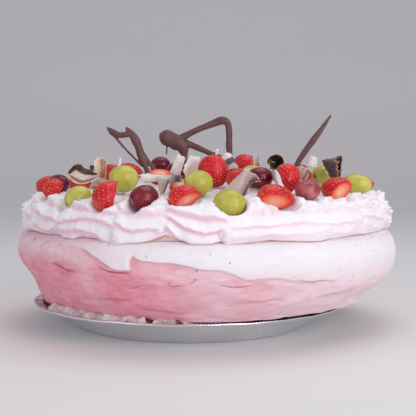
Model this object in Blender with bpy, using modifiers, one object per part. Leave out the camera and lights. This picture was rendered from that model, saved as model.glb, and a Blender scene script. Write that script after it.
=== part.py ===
"""Pavlova in a foil dish: meringue, a piped cream ring, fruit and chocolate on top.

Metres, +Z up, the front at -Y. A bearing is an angle round the cake from the front, positive
towards +X. The origin is under the middle of the whole, at the height of the dish's base.
"""
import math

import bmesh
import bpy
import numpy as np
from mathutils import Euler, Matrix, Vector

MM = 0.001
GAP = 0.3 * MM           # air between pieces that touch
CUT_GROWTH = 0.4 * MM    # how much wider than a topping its socket in the cream is

# Foil dish
FOIL_THICKNESS = 0.5 * MM
DISH_OFFSET_X = -12 * MM
DISH_BASE_RADIUS = 91.5 * MM
DISH_WALL_RADIUS = 118 * MM      # where the sloping wall meets the flat rim
DISH_RIM_RADIUS = 127 * MM
DISH_RIM_HEIGHT = 19.8 * MM
RIM_BEAD_RADIUS = 1.0 * MM
DISH_STEPS = 44

# Meringue: outline from the top's middle down to the edge over the dish, radius and height
MERINGUE_TOP = 78 * MM
MERINGUE_OUTLINE = ((0, 78), (75, 78), (128, 78), (142.5, 77.6), (147, 74), (150.5, 69), (151.5, 62.5),
                    (150, 55), (146.5, 47), (141.5, 39), (135.5, 31))
MERINGUE_EDGE_RADIUS = 124.5 * MM
MERINGUE_COLUMNS = 44
# The crust's lower edge, a step that runs round the side: bearing in degrees, height in mm
CRUST_EDGE = ((-180, 60), (-120, 57), (-60, 72), (-34, 72), (-25, 60), (-20, 59), (-19, 68), (-13, 65),
              (1, 60.5), (10, 54), (24, 51), (60, 48), (110, 55), (180, 60))
CRUST_STEP = 1.6 * MM
# Below its widest the right side stays full, and the left side draws in
WAIST_HEIGHT = 43 * MM
RIGHT_FULLNESS = 3.5 * MM
LEFT_FULLNESS = -2.5 * MM

# Cream: a ring of piped shells round a low mound
CREAM_BASE = MERINGUE_TOP + GAP
RING_RADIUS = 122 * MM
RING_MIDDLE = 88 * MM
RING_WIDTH = 24 * MM
RING_RISE = 18 * MM
RING_LAST_ANGLE = -32.5
MOUND_OUTLINE = ((0, 114), (45, 113), (78, 110), (104, 105.5))
RING_ROWS = 12
CREAM_COLUMNS = 76
SHELL_BULGE = 1.6 * MM
RIDGE_DEPTH = 2.0 * MM
RIDGES = 3.2
# One shell each: bearing where it starts in degrees, how far its streaks drop along it
SHELLS = ((-180, 0.8), (-163, 0.5), (-146, 1.0), (-130, 0.6), (-113, 0.9), (-97, 0.7), (-81, 0.8),
          (-64, 0.6), (-47, 0.7), (-26, 0.5), (-11.5, 1.1), (4.5, -0.3), (36, 0.5), (50, 0.8), (66, 0.7),
          (83, 1.0), (100, 0.6), (117, 0.9), (134, 0.5), (150, 0.8), (165, 0.7))

# Fruit: bearing, distance from the middle, height of its centre, length, width (mm), heading, tilt.
# At heading 0 a fruit's tip points to +X, at -90 to the front; a positive tilt raises the tip.
GRAPES = {
    "green_grape_1": (-44.5, 130, 104.5, 20.5, 17, 30, 25),
    "green_grape_2": (-36, 101, 118, 22, 20, 0, 8),
    "green_grape_3": (-3, 97.5, 115.5, 21, 18, 10, 0),
    "green_grape_4": (7.3, 128, 102.8, 22.5, 18.5, -20, -8),
    "green_grape_5": (33.5, 64.5, 119.5, 20, 17, 15, 0),
    "green_grape_6": (64, 127, 113.5, 22.5, 15.5, -8, -6),
    "green_grape_7": (79, 95, 120, 19, 16, 30, 10),
    "green_grape_8": (-150, 96, 116, 21, 18, 40, 0),
    "green_grape_9": (128, 124, 111.5, 21, 18, -50, 5),
    "red_grape_1": (-79, 119, 112, 24, 16.5, -55, 5),
    "red_grape_2": (-19.8, 125, 105.5, 20.5, 18.5, 25, 15),
    "red_grape_3": (-93, 37, 126.8, 17, 15, 5, 0),
    "red_grape_4": (-36, 37, 122.5, 19, 15, 10, 5),
    "red_grape_5": (28.5, 84, 118.5, 19, 16, 10, 0),
    "red_grape_6": (34.8, 125.5, 110.5, 18.5, 14.5, 0, 3),
    "red_grape_7": (170, 118, 111.5, 20.5, 17, 10, 5),
}
# The last four numbers are the flat cut: which way it faces, and how far it lies from the centre.
STRAWBERRIES = {
    "strawberry_1": (-89, 128.5, 109, 23, 20, 160, 20, None),
    "strawberry_2": (-64.5, 128, 109.5, 19, 15, -130, -15, (0.6, 0.6, -0.5, 3)),
    "strawberry_3": (-31, 130.7, 107.4, 24, 20.5, 18, 48, (0.95, 0.12, -0.2, 4.1)),
    "strawberry_4": (-76, 76, 119.5, 24, 17, -35, -10, (0, 0.3, -0.95, 3)),
    "strawberry_5": (-57, 71, 121.5, 22, 16, 20, 5, (0, 0.3, -0.95, 3)),
    "strawberry_6": (-32, 64, 119.5, 19, 14, 0, 0, (0, -0.5, 0.87, 2.5)),
    "strawberry_7": (-14, 76, 112.5, 17, 13, -170, -8, (0.1, -0.75, 0.65, 1.5)),
    "strawberry_8": (5.5, 69, 123, 26, 22, -48, -48, None),
    "strawberry_9": (-6.6, 121.5, 106.4, 23, 18, 0, 12, (0.45, -0.55, -0.7, 3)),
    "strawberry_10": (16, 82, 119.5, 18, 12, 25, 28, (0.3, 0.6, -0.74, 2.5)),
    "strawberry_11": (54, 40, 127, 24, 18, -35, -8, (0, 0.3, -0.95, 3)),
    "strawberry_12": (35, 102.5, 118.3, 23, 18.5, -80, -66, None),
    "strawberry_13": (22.5, 126.5, 105.8, 27, 19, 5, -3, (0.05, -0.7, -0.71, 3.6)),
    "strawberry_14": (48.5, 126, 110, 24, 19.5, 160, 5, (0.5, -0.62, -0.6, 4)),
    "strawberry_15": (71, 80, 119.5, 17, 14, 30, 0, (0.1, -0.9, 0.4, 1)),
    "strawberry_16": (98, 76, 120, 22, 17, 160, 15, None),
    "strawberry_17": (80, 124.5, 112, 21, 17, -20, 6, (0, 0.4, -0.9, 4)),
    "strawberry_18": (-116, 124, 110.5, 24, 19, -120, 15, None),
    "strawberry_19": (152, 122, 110.5, 25, 20, 60, 10, None),
    "strawberry_20": (-158, 64, 118.5, 25, 20, 80, 15, None),
    "strawberry_21": (150, 62, 118.5, 24, 19, -140, -10, (0, 0.2, -0.98, 3)),
}
# Chocolate sheets, rolled or curled: bearing, distance, height (mm), heading, tilt and roll of the
# axis (degrees), length, radius at each end (mm), turn (degrees), start of the turn, height stretch.
CURLS = {
    "chocolate_roll_1": (-21, 90.5, 119.4, 0, -2, 0, 31, 1.1, 1.1, 400, 0, 1.0),
    "dark_roll_1": (48.5, 70, 128.2, -85, 8, 0, 15, 1.2, 4.9, 380, 150, 1.0),
    "dark_roll_2": (66.5, 108, 126, 180, 78, 0, 16, 3.0, 7.2, 300, 75, 1.0),
    "white_curl_3": (87, 86, 129.5, 60, 70, 0, 10, 4.0, 2.5, 160, 60, 1.0),
    "dark_roll_3": (-135, 112, 115, 50, 10, 0, 24, 3.4, 3.4, 420, 0, 1.0),
    "marbled_curl_7": (175, 60, 119.5, -30, 35, 0, 18, 5.5, 8.0, 240, 30, 1.0),
    "white_curl_4": (110, 112, 114.5, 20, 30, 0, 16, 4.5, 6.0, 230, 90, 1.0),
}
# Curved shards: rows of points (x, y, height in mm) from the foot to the top edge, each from left to right
SHARDS = {
    "marbled_curl_1": (((-104, -60, 121.2), (-100, -65, 116.2), (-94, -68, 113.4), (-86, -67, 115),
                        (-79.6, -62, 119.4)),
                       ((-103.5, -54, 120), (-99, -53, 118), (-93, -52.5, 115.5), (-87, -53.5, 116.5),
                        (-81, -58.5, 119.5)),
                       ((-104.3, -58, 122.3), (-97.6, -55, 129.2), (-92, -51, 126.6), (-87.5, -52, 123.8),
                        (-81, -59, 121.3))),
    "marbled_curl_2": (((-82.5, -51, 116.5), (-79.5, -47.5, 116), (-76.5, -51, 116.5)),
                       ((-84, -51, 124), (-80, -46.5, 124), (-75.5, -51.5, 124)),
                       ((-85, -51.5, 129.5), (-80.3, -46.5, 130.5), (-75.4, -51.5, 130)),
                       ((-83, -50.5, 133.2), (-80.3, -49, 133.8), (-77.6, -50.5, 133.4))),
    "marbled_curl_3": (((-86, -70, 110), (-80, -73, 109.5), (-75, -72, 110), (-69.6, -69.5, 113)),
                       ((-86, -68.5, 111.8), (-81.5, -69.5, 114.5), (-76, -69, 115.5), (-70, -67.5, 115)),
                       ((-85.5, -67, 112.6), (-82, -65.5, 116.4), (-77, -64.5, 118.2), (-70.8, -65.5, 116.4))),
    "white_curl_1": (((-29, -39, 119), (-24.5, -40.5, 118), (-20, -41, 119)),
                     ((-25.5, -38.5, 128), (-21.5, -40, 127.5), (-17.5, -39.5, 127.5)),
                     ((-21.5, -37.5, 137), (-18.5, -38, 135.5), (-15.6, -38, 133.6))),
    "white_curl_2": (((-15, -54, 117), (-10, -51.5, 117), (-5.5, -53, 117)),
                     ((-17, -56.5, 124.5), (-10.5, -52.5, 124), (-4.5, -53.5, 124)),
                     ((-14.5, -52, 130.5), (-9, -54, 131), (-4, -50.5, 130)),
                     ((-11.5, -50.5, 135.8), (-8, -51.5, 134.6), (-4.8, -50, 134.8))),
    "marbled_curl_4": (((7, -102, 104.5), (15, -106, 104), (23, -104.5, 104.5), (28, -98, 106.5)),
                       ((17, -100.5, 115.5), (22.5, -104.5, 114.5), (27.5, -102.5, 115), (32, -95.5, 115)),
                       ((28, -98.5, 125.8), (29.7, -98.7, 126.5), (32, -96.5, 124.5), (40, -93, 116.5))),
    "marbled_curl_5": (((16.5, -41, 122.5), (20.5, -43, 125), (25.5, -38, 125)),
                       ((13.5, -42, 128.5), (18.5, -45, 131.5), (22.5, -40, 132)),
                       ((11, -42, 133.8), (15.2, -44, 137.6), (19.3, -40, 137.2))),
    "marbled_curl_6": (((49.5, -99, 108), (53, -101, 108), (57, -99, 108)),
                       ((49, -98.5, 116), (51.2, -100, 116), (54, -98.5, 116)),
                       ((47.8, -97.5, 124.9), (49, -97.6, 125.3), (50.2, -97.5, 124.5))),
}
SHARD_STEPS = (4, 3)     # steps up a shard and across it
SHEET_THICKNESS = 1.0 * MM
SHEET_PITCH = 2.2 * MM   # how much further out each full turn of a roll lies

# Piped chocolate decorations: strands of (x, height, radius) in mm, in an upright plane
FISH_STRANDS = (
    ((-36.6, 152.6, 4.4), (-32.6, 150.8, 6.3), (-25, 147.2, 6.3), (-18.5, 142.6, 5.2), (-16.8, 135, 2.8),
     (-16.5, 124, 2.3), (-16, 112.5, 2.2)),
    ((-20.9, 147.8, 4.0), (-15.5, 151.5, 2.9), (-4.8, 156.7, 2.4), (6.4, 161.1, 2.9), (13.7, 163.6, 3.3),
     (18, 161.4, 3.0), (19.3, 154.3, 2.6), (19.3, 143.8, 2.6), (20, 133.4, 2.5), (20.8, 112.5, 2.2)),
    ((-21, 144.6, 4.0), (-12.8, 144.4, 3.0), (-2.4, 140.2, 2.3), (8, 135.6, 2.2), (20, 131.5, 1.8)),
    ((-30.5, 146, 0.9), (-31, 136, 0.6)),
)
HARP_STRANDS = (
    ((-62.4, 157.3, 0.9), (-59, 153.6, 2.5), (-55.2, 148.2, 3.3), (-52.1, 141.2, 3.0), (-50.1, 134.2, 3.1),
     (-46.8, 126.4, 2.1), (-43.5, 115, 1.8)),
    ((-76.9, 157.2, 0.9), (-72.3, 153.3, 2.6), (-67.2, 151.2, 2.4), (-58.5, 152, 2.2)),
    ((-49.9, 137.6, 2.0), (-45.1, 131.1, 1.7), (-40.6, 124.9, 1.7), (-37.5, 115, 1.6)),
    ((-73, 152.6, 1.2), (-62.9, 140.8, 0.9), (-49, 126.6, 1.0)),
)
BLADE_STRANDS = (
    ((63, 112, 1.6), (68.9, 127.4, 1.9), (75.1, 137.6, 2.3), (82, 147.2, 2.4), (88.1, 155.6, 1.8),
     (95.2, 166, 0.8)),
)
# strands, distance of their plane towards the back, and depth against width
DECORATIONS = {
    "fish_decoration": (FISH_STRANDS, -10 * MM, 0.75),
    "harp_decoration": (HARP_STRANDS, -33 * MM, 0.8),
    "blade_decoration": (BLADE_STRANDS, -48 * MM, 2.3),
}


def clear_scene():
    """Removes every object that is in the file."""
    for item in list(bpy.data.objects):
        bpy.data.objects.remove(item, do_unlink=True)


def make_collection(name):
    collection = bpy.data.collections.new(name)
    bpy.context.scene.collection.children.link(collection)
    return collection


def make_material(name, colour, roughness, metallic=0.0):
    material = bpy.data.materials.new(name)
    material.use_nodes = True
    shader = material.node_tree.nodes["Principled BSDF"]
    shader.inputs["Base Color"].default_value = (*colour, 1.0)
    shader.inputs["Roughness"].default_value = roughness
    shader.inputs["Metallic"].default_value = metallic
    return material


def add_object(name, mesh, material, collection, sharp_angle=40):
    """An object at the world's origin with smooth shading away from sharp edges."""
    item = bpy.data.objects.new(name, mesh)
    collection.objects.link(item)
    if material:
        mesh.materials.append(material)
    mesh.shade_smooth()
    mesh.set_sharp_from_angle(angle=math.radians(sharp_angle))
    return item


def mesh_from(bm, name):
    mesh = bpy.data.meshes.new(name)
    bm.to_mesh(mesh)
    bm.free()
    return mesh


def hide_cutter(item):
    item.hide_render = True
    item.display_type = "WIRE"


def around(bearing, distance, height=0.0):
    """The point at a bearing in radians and a distance from the middle."""
    return Vector((distance * math.sin(bearing), -distance * math.cos(bearing), height))


def ramp(value, table):
    """Linear interpolation in a table of (input, output) pairs."""
    return float(np.interp(value, [row[0] for row in table], [row[1] for row in table]))


# ---------------------------------------------------------------- foil dish

def dish_profile():
    """Half section of the dish, from the middle of its inner floor round the rim to its base."""
    rim = DISH_RIM_HEIGHT
    bead = RIM_BEAD_RADIUS
    bead_middle = DISH_RIM_RADIUS - bead
    return [
        (0.0, FOIL_THICKNESS),
        (DISH_BASE_RADIUS - FOIL_THICKNESS, FOIL_THICKNESS),
        (DISH_WALL_RADIUS, rim),
        (bead_middle - bead, rim),
        (bead_middle, rim + 0.5 * bead),
        (DISH_RIM_RADIUS, rim - 0.5 * bead),
        (bead_middle, rim - 1.5 * bead),
        (bead_middle - bead, rim - FOIL_THICKNESS),
        (DISH_WALL_RADIUS + FOIL_THICKNESS, rim - FOIL_THICKNESS),
        (DISH_BASE_RADIUS, 0.0),
        (0.0, 0.0),
    ]


def build_dish(material, collection):
    bm = bmesh.new()
    points = [bm.verts.new((radius, 0.0, height)) for radius, height in dish_profile()]
    for first, second in zip(points, points[1:]):
        bm.edges.new((first, second))
    dish = add_object("foil_dish", mesh_from(bm, "foil_dish"), material, collection)
    screw = dish.modifiers.new("turn", "SCREW")
    screw.steps = DISH_STEPS
    screw.render_steps = DISH_STEPS
    screw.use_merge_vertices = True
    screw.merge_threshold = 0.00005
    screw.use_smooth_shade = True
    dish.location.x = DISH_OFFSET_X
    return dish


def dish_distance(bearing, radius):
    """Distance from the cake's middle to a circle of the dish, which is off to one side."""
    off = DISH_OFFSET_X
    return off * math.sin(bearing) + math.sqrt(radius ** 2 - (off * math.cos(bearing)) ** 2)


# ---------------------------------------------------------------- round skins

def round_skin(columns, rows, place):
    """A UV sphere whose vertex at each (bearing, row) goes to place(bearing, row)."""
    bm = bmesh.new()
    bmesh.ops.create_uvsphere(bm, u_segments=columns, v_segments=rows, radius=1.0)
    for vertex in bm.verts:
        row = round(math.acos(max(-1.0, min(1.0, vertex.co.z))) / math.pi * rows)
        bearing = math.atan2(vertex.co.x, -vertex.co.y)
        vertex.co = place(bearing, row)
    return bm


# ---------------------------------------------------------------- meringue

def crust_shift(bearing, height):
    """The crust stands out above its broken edge and the crumb below is set back."""
    edge = ramp(math.degrees(bearing), CRUST_EDGE) * MM
    return CRUST_STEP * math.tanh((height - edge) / (2.5 * MM))


def meringue_swell(bearing, height):
    """Slow uneven bulges of the side."""
    wave = math.sin(3 * bearing + 0.6) + 0.6 * math.sin(5 * bearing - 1.1)
    fold = 0.5 * math.sin(height / (4.2 * MM) + 2 * math.sin(2 * bearing))
    side = math.sin(bearing)
    waist = math.exp(-((height - WAIST_HEIGHT) / (12 * MM)) ** 2)
    lean = (RIGHT_FULLNESS if side > 0 else LEFT_FULLNESS) * side ** 2 * waist
    return (0.7 * wave + fold) * MM + lean


def meringue_edge(bearing):
    """Radius and height of the edge that sits over the dish's rim."""
    radius = max(MERINGUE_EDGE_RADIUS, dish_distance(bearing, DISH_WALL_RADIUS) + 2 * MM)
    lift = 2.6 * MM + 2.4 * MM * max(0.0, math.sin(bearing))
    return radius, DISH_RIM_HEIGHT + lift


def meringue_place(bearing, row):
    side_rows = len(MERINGUE_OUTLINE)
    if row < side_rows:
        radius, height = (value * MM for value in MERINGUE_OUTLINE[row])
        if height < MERINGUE_TOP - GAP:
            radius += crust_shift(bearing, height) + meringue_swell(bearing, height)
        return around(bearing, radius, height)
    floor = FOIL_THICKNESS + GAP
    over_rim = DISH_RIM_HEIGHT + RIM_BEAD_RADIUS
    under = {
        side_rows: meringue_edge(bearing),
        side_rows + 1: (dish_distance(bearing, DISH_WALL_RADIUS - 1.5 * MM), over_rim),
        side_rows + 2: (dish_distance(bearing, DISH_BASE_RADIUS - 1.5 * MM), floor),
        side_rows + 3: (0.0, floor),
    }
    return around(bearing, *under[row])


def build_meringue(material, collection):
    rows = len(MERINGUE_OUTLINE) + 3
    bm = round_skin(MERINGUE_COLUMNS, rows, meringue_place)
    return add_object("meringue", mesh_from(bm, "meringue"), material, collection, 60)


# ---------------------------------------------------------------- cream

def shell_at(bearing):
    """How far along its shell a bearing is, from 0 to 1, and the drop of that shell's streaks."""
    angle = math.degrees(bearing)
    starts = [shell[0] for shell in SHELLS] + [180]
    index = max(k for k in range(len(SHELLS)) if starts[k] <= max(angle, -180))
    along = (angle - starts[index]) / (starts[index + 1] - starts[index])
    return min(1.0, max(0.0, along)), SHELLS[index][1]


def cream_relief(bearing, across):
    """Bulge of a shell and the streaks that the nozzle's teeth leave, across from 0 to 1."""
    along, drop = shell_at(bearing)
    bulge = SHELL_BULGE * (math.sin(math.pi * along) ** 0.6 - 0.5)
    phase = math.pi * (RIDGES * across - drop * along)
    streak = RIDGE_DEPTH * (2 * abs(math.cos(phase)) - 1)
    return (bulge + streak) * math.sin(math.pi * min(1.0, 0.12 + 0.88 * across))


def cream_skin(bearing, row):
    """Point of the cream before the fruit is pressed in, and the way out of the cream there."""
    mound_rows = len(MOUND_OUTLINE)
    if row < mound_rows:
        radius, height = (value * MM for value in MOUND_OUTLINE[row])
        height += 1.2 * MM * math.sin(4 * bearing + row) * min(1, row)
        return around(bearing, radius, height), Vector((0, 0, 1))
    across = (row - mound_rows) / RING_ROWS
    turn = math.radians(90 + (RING_LAST_ANGLE - 90) * across)
    out = around(bearing, math.cos(turn)) + Vector((0, 0, math.sin(turn)))
    middle = around(bearing, RING_RADIUS, RING_MIDDLE)
    side = around(bearing, math.cos(turn) * RING_WIDTH, math.sin(turn) * RING_RISE)
    return middle + side + out * cream_relief(bearing, across), out


def pressed(point, out, hollows):
    """Pushes a point of the cream inwards, to below the fruit that is pressed into it."""
    shift = 0.0
    for shrink, centre in hollows:
        start = shrink @ (point - centre)
        step = shrink @ out
        a = step.dot(step)
        b = start.dot(step)
        inside = b * b - a * (start.dot(start) - 1)
        if inside > 0:
            shift = min(shift, (-b - math.sqrt(inside)) / a)
    return point + out * max(shift, -14 * MM)


def build_cream(material, collection, hollows, cutters):
    last_row = len(MOUND_OUTLINE) + RING_ROWS + 1

    def place(bearing, row):
        if row == last_row:
            return Vector((0, 0, CREAM_BASE))
        point, out = cream_skin(bearing, row)
        if row == last_row - 1:
            point.z = CREAM_BASE
            return point
        point = pressed(point, out, hollows)
        point.z = max(point.z, CREAM_BASE + 1.5 * MM)
        return point

    bm = round_skin(CREAM_COLUMNS, last_row, place)
    cream = add_object("whipped_cream", mesh_from(bm, "whipped_cream"), material, collection, 70)
    sockets = cream.modifiers.new("sockets", "BOOLEAN")
    sockets.operation = "DIFFERENCE"
    sockets.operand_type = "COLLECTION"
    sockets.collection = cutters
    sockets.solver = "EXACT"
    sockets.use_self = True
    return cream


# ---------------------------------------------------------------- fruit

def turned(heading, tilt, roll=0.0):
    """Rotation that raises +X by the tilt and then turns it to the heading."""
    return Euler((math.radians(roll), math.radians(-tilt), math.radians(heading)), "XYZ").to_matrix()


def grape_radius(along):
    """A grape is slightly fuller than an ellipsoid towards its middle."""
    return (1 - along ** 2) ** 0.46


def strawberry_radius(along):
    """Broad shoulders at the stem, a drawn-out tip."""
    shoulder = (1 + along) ** 0.5
    return min(1.0, 1.12 * shoulder * (1 - along) ** 0.72 * 0.9)


def fruit_bmesh(length, width, outline, turn, centre):
    """A turned body along +X, from a UV sphere whose rings take their radius from the outline."""
    bm = bmesh.new()
    bmesh.ops.create_uvsphere(bm, u_segments=9, v_segments=6, radius=1.0)
    for vertex in bm.verts:
        along = vertex.co.z
        ring = math.hypot(vertex.co.x, vertex.co.y)
        radius = outline(along) * width / 2 if ring > 0.001 else 0.0
        scale = radius / max(ring, 0.001)
        body = Vector((along * length / 2, vertex.co.x * scale, vertex.co.y * scale))
        vertex.co = centre + turn @ body
    bm.normal_update()
    return bm


def cut_flat(bm, centre, cut, growth):
    """Takes off what lies beyond the cut's plane and closes the flat face."""
    *facing, offset = cut
    normal = Vector(facing).normalized()
    point = centre + normal * (offset * MM + growth)
    edges = bm.verts[:] + bm.edges[:] + bm.faces[:]
    result = bmesh.ops.bisect_plane(bm, geom=edges, plane_co=point, plane_no=normal, clear_outer=True)
    rim = [part for part in result["geom_cut"] if isinstance(part, bmesh.types.BMEdge)]
    bmesh.ops.contextual_create(bm, geom=rim)
    bm.normal_update()
    bmesh.ops.recalc_face_normals(bm, faces=bm.faces)


def build_fruit(name, row, outline, material, parts, cutters):
    """One fruit, its socket's cutter, and the hollow that it presses into the cream."""
    bearing, distance, height, length, width, heading, tilt = row[:7]
    cut = row[7] if len(row) > 7 else None
    centre = around(math.radians(bearing), distance * MM, height * MM)
    turn = turned(heading, tilt)
    for growth, target in ((0.0, parts), (CUT_GROWTH, cutters)):
        bm = fruit_bmesh(length * MM + 2 * growth, width * MM + 2 * growth, outline, turn, centre)
        if cut:
            cut_flat(bm, centre, cut, growth)
        label = name if target is parts else name + "_socket"
        fruit = add_object(label, mesh_from(bm, label), material, target)
        if target is cutters:
            hide_cutter(fruit)
    half = Vector((length, width, width)) * (0.5 * MM) + Vector((1, 1, 1)) * CUT_GROWTH
    shrink = Matrix.Diagonal([1 / side for side in half]) @ turn.transposed()
    return shrink, centre


# ---------------------------------------------------------------- chocolate sheets

def sheet_point(u, v, row, growth):
    """Point of a rolled sheet: u runs round the roll, v along its axis, both from -1 to 1."""
    length, start_radius, end_radius, turn, start, stretch = row[6:]
    angle = math.radians(start + turn * (u + 1) / 2)
    radius = start_radius + (end_radius - start_radius) * (v + 1) / 2
    radius = radius * MM + SHEET_PITCH * math.radians(turn) * (u + 1) / 2 / (2 * math.pi)
    along = v * (length * MM / 2 + growth)
    return Vector((along, radius * math.cos(angle), stretch * radius * math.sin(angle)))


def smooth_point(points, share):
    """Point of a smooth curve through a list of points, share from 0 at the first to 1 at the last."""
    ends = [2 * points[0] - points[1], *points, 2 * points[-1] - points[-2]]
    place = min(max(share, 0.0), 1.0) * (len(points) - 1)
    k = min(int(place), len(points) - 2)
    f = place - k
    a, b, c, d = ends[k:k + 4]
    return 0.5 * (2 * b + (c - a) * f + (2 * a - 5 * b + 4 * c - d) * f ** 2 + (3 * b - a - 3 * c + d) * f ** 3)


def shard_point(net, across, up, growth):
    """Point of a shard, both places from -1 to 1; its edges are moved out by the growth."""
    def place(x, y):
        return smooth_point([smooth_point(row, (x + 1) / 2) for row in net], (y + 1) / 2)

    point = place(across, up)
    result = point.copy()
    for side_x, side_y in ((int(across), 0), (0, int(up))):
        if side_x or side_y:
            inner = place(across - 0.1 * side_x, up - 0.1 * side_y)
            result += growth * (point - inner).normalized()
    return result


def build_shard(name, rows, material, parts, cutters):
    """A curved shard: a smooth sheet through rows of points, thickened to both sides."""
    net = [[Vector(point) * MM for point in row] for row in rows]
    steps_up, steps_across = SHARD_STEPS
    for growth, target in ((0.0, parts), (CUT_GROWTH, cutters)):
        bm = bmesh.new()
        bmesh.ops.create_grid(bm, x_segments=steps_across, y_segments=steps_up, size=1.0)
        for vertex in bm.verts:
            vertex.co = shard_point(net, vertex.co.x, vertex.co.y, growth)
        label = name if target is parts else name + "_socket"
        shard = add_object(label, mesh_from(bm, label), material, target)
        shell = shard.modifiers.new("thickness", "SOLIDIFY")
        shell.thickness = SHEET_THICKNESS + 2 * growth
        shell.offset = 0.0
        if target is cutters:
            hide_cutter(shard)


def build_curl(name, row, material, parts, cutters):
    """A thin sheet rolled round its own axis, thickened to both sides."""
    bearing, distance, height, heading, tilt, roll = row[:6]
    turn = turned(heading, tilt, roll)
    steps = max(5, round(row[9] / 42))
    centre = around(math.radians(bearing), distance * MM, height * MM)
    for growth, target in ((0.0, parts), (CUT_GROWTH, cutters)):
        bm = bmesh.new()
        bmesh.ops.create_grid(bm, x_segments=steps, y_segments=1, size=1.0)
        for vertex in bm.verts:
            vertex.co = centre + turn @ sheet_point(vertex.co.x, vertex.co.y, row, growth)
        label = name if target is parts else name + "_socket"
        curl = add_object(label, mesh_from(bm, label), material, target)
        shell = curl.modifiers.new("thickness", "SOLIDIFY")
        shell.thickness = SHEET_THICKNESS + 2 * growth
        shell.offset = 0.0
        if target is cutters:
            hide_cutter(curl)


# ---------------------------------------------------------------- piped decorations

def strand_mesh(name, strand, depth, flat, growth):
    """One piped strand: a curve with a round section and filled ends, made a closed mesh."""
    curve = bpy.data.curves.new(name, "CURVE")
    curve.dimensions = "3D"
    curve.bevel_depth = 1.0
    curve.bevel_resolution = 1
    curve.use_fill_caps = True
    spline = curve.splines.new("POLY")
    spline.points.add(len(strand) - 1)
    for point, (x, height, radius) in zip(spline.points, strand):
        point.co = (x * MM, 0.0, height * MM, 1.0)
        point.radius = radius * MM + growth
    item = bpy.data.objects.new(name, curve)
    bpy.context.scene.collection.objects.link(item)
    bpy.context.view_layer.update()
    evaluated = item.evaluated_get(bpy.context.evaluated_depsgraph_get())
    mesh = bpy.data.meshes.new_from_object(evaluated)
    bpy.data.objects.remove(item, do_unlink=True)
    bm = bmesh.new()
    bm.from_mesh(mesh)
    bmesh.ops.remove_doubles(bm, verts=bm.verts, dist=0.00001)
    bmesh.ops.recalc_face_normals(bm, faces=bm.faces)
    for vertex in bm.verts:
        vertex.co.y = vertex.co.y * flat + depth
    bm.to_mesh(mesh)
    bm.free()
    return mesh


def build_decoration(name, row, material, parts, cutters, strands_store):
    """Strands fused into one solid, and a cutter round each strand that stands in the cream."""
    strands, depth, flat = row
    pieces = []
    for index, strand in enumerate(strands):
        label = f"{name}_strand_{index}"
        target = parts if index == 0 else strands_store
        piece = add_object(label, strand_mesh(label, strand, depth, flat, 0.0), material, target)
        pieces.append(piece)
        socket = add_object(label + "_socket", strand_mesh(label, strand, depth, flat, CUT_GROWTH), None, cutters)
        hide_cutter(socket)
    body = pieces[0]
    body.name = name
    for piece in pieces[1:]:
        hide_cutter(piece)
        union = body.modifiers.new("fuse", "BOOLEAN")
        union.operation = "UNION"
        union.object = piece
        union.solver = "EXACT"
    return body


# ---------------------------------------------------------------- assembly

def curl_material(name, materials):
    return next(materials[kind] for kind in ("white", "dark", "marbled", "chocolate") if name.startswith(kind))


def stand_on_origin(collections):
    """Hangs everything on an empty that puts the middle of the whole over the origin."""
    bpy.context.view_layer.update()
    graph = bpy.context.evaluated_depsgraph_get()
    corners = []
    for item in collections[0].objects:
        evaluated = item.evaluated_get(graph)
        corners += [item.matrix_world @ Vector(corner) for corner in evaluated.bound_box]
    low = [min(corner[axis] for corner in corners) for axis in range(3)]
    high = [max(corner[axis] for corner in corners) for axis in range(3)]
    middle = bpy.data.objects.new("cake_middle", None)
    bpy.context.scene.collection.objects.link(middle)
    middle.location = (-(low[0] + high[0]) / 2, -(low[1] + high[1]) / 2, -low[2])
    for collection in collections:
        for item in collection.objects:
            item.parent = middle


def build():
    clear_scene()
    parts = make_collection("pavlova")
    cutters = make_collection("sockets")
    strands = make_collection("strands")
    materials = {
        "foil": make_material("foil", (0.80, 0.80, 0.82), 0.25, 1.0),
        "meringue": make_material("meringue", (0.88, 0.76, 0.75), 0.75),
        "cream": make_material("cream", (0.93, 0.89, 0.88), 0.5),
        "green_grape": make_material("green_grape", (0.55, 0.54, 0.12), 0.25),
        "red_grape": make_material("red_grape", (0.16, 0.01, 0.03), 0.2),
        "strawberry": make_material("strawberry", (0.60, 0.01, 0.02), 0.3),
        "chocolate": make_material("chocolate", (0.12, 0.05, 0.045), 0.35),
        "dark": make_material("dark_chocolate", (0.03, 0.015, 0.015), 0.35),
        "white": make_material("white_chocolate", (0.78, 0.70, 0.62), 0.4),
        "marbled": make_material("marbled_chocolate", (0.42, 0.28, 0.20), 0.4),
    }
    build_dish(materials["foil"], parts)
    build_meringue(materials["meringue"], parts)
    hollows = []
    for name, row in GRAPES.items():
        material = materials[name.rsplit("_", 1)[0]]
        hollows.append(build_fruit(name, row, grape_radius, material, parts, cutters))
    for name, row in STRAWBERRIES.items():
        hollows.append(build_fruit(name, row, strawberry_radius, materials["strawberry"], parts, cutters))
    for name, row in CURLS.items():
        build_curl(name, row, curl_material(name, materials), parts, cutters)
    for name, rows in SHARDS.items():
        build_shard(name, rows, curl_material(name, materials), parts, cutters)
    for name, row in DECORATIONS.items():
        build_decoration(name, row, materials["chocolate"], parts, cutters, strands)
    build_cream(materials["cream"], parts, hollows, cutters)
    stand_on_origin([parts, cutters, strands])


build()
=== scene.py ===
# Pavlova in a foil dish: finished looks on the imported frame.
import math

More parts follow.
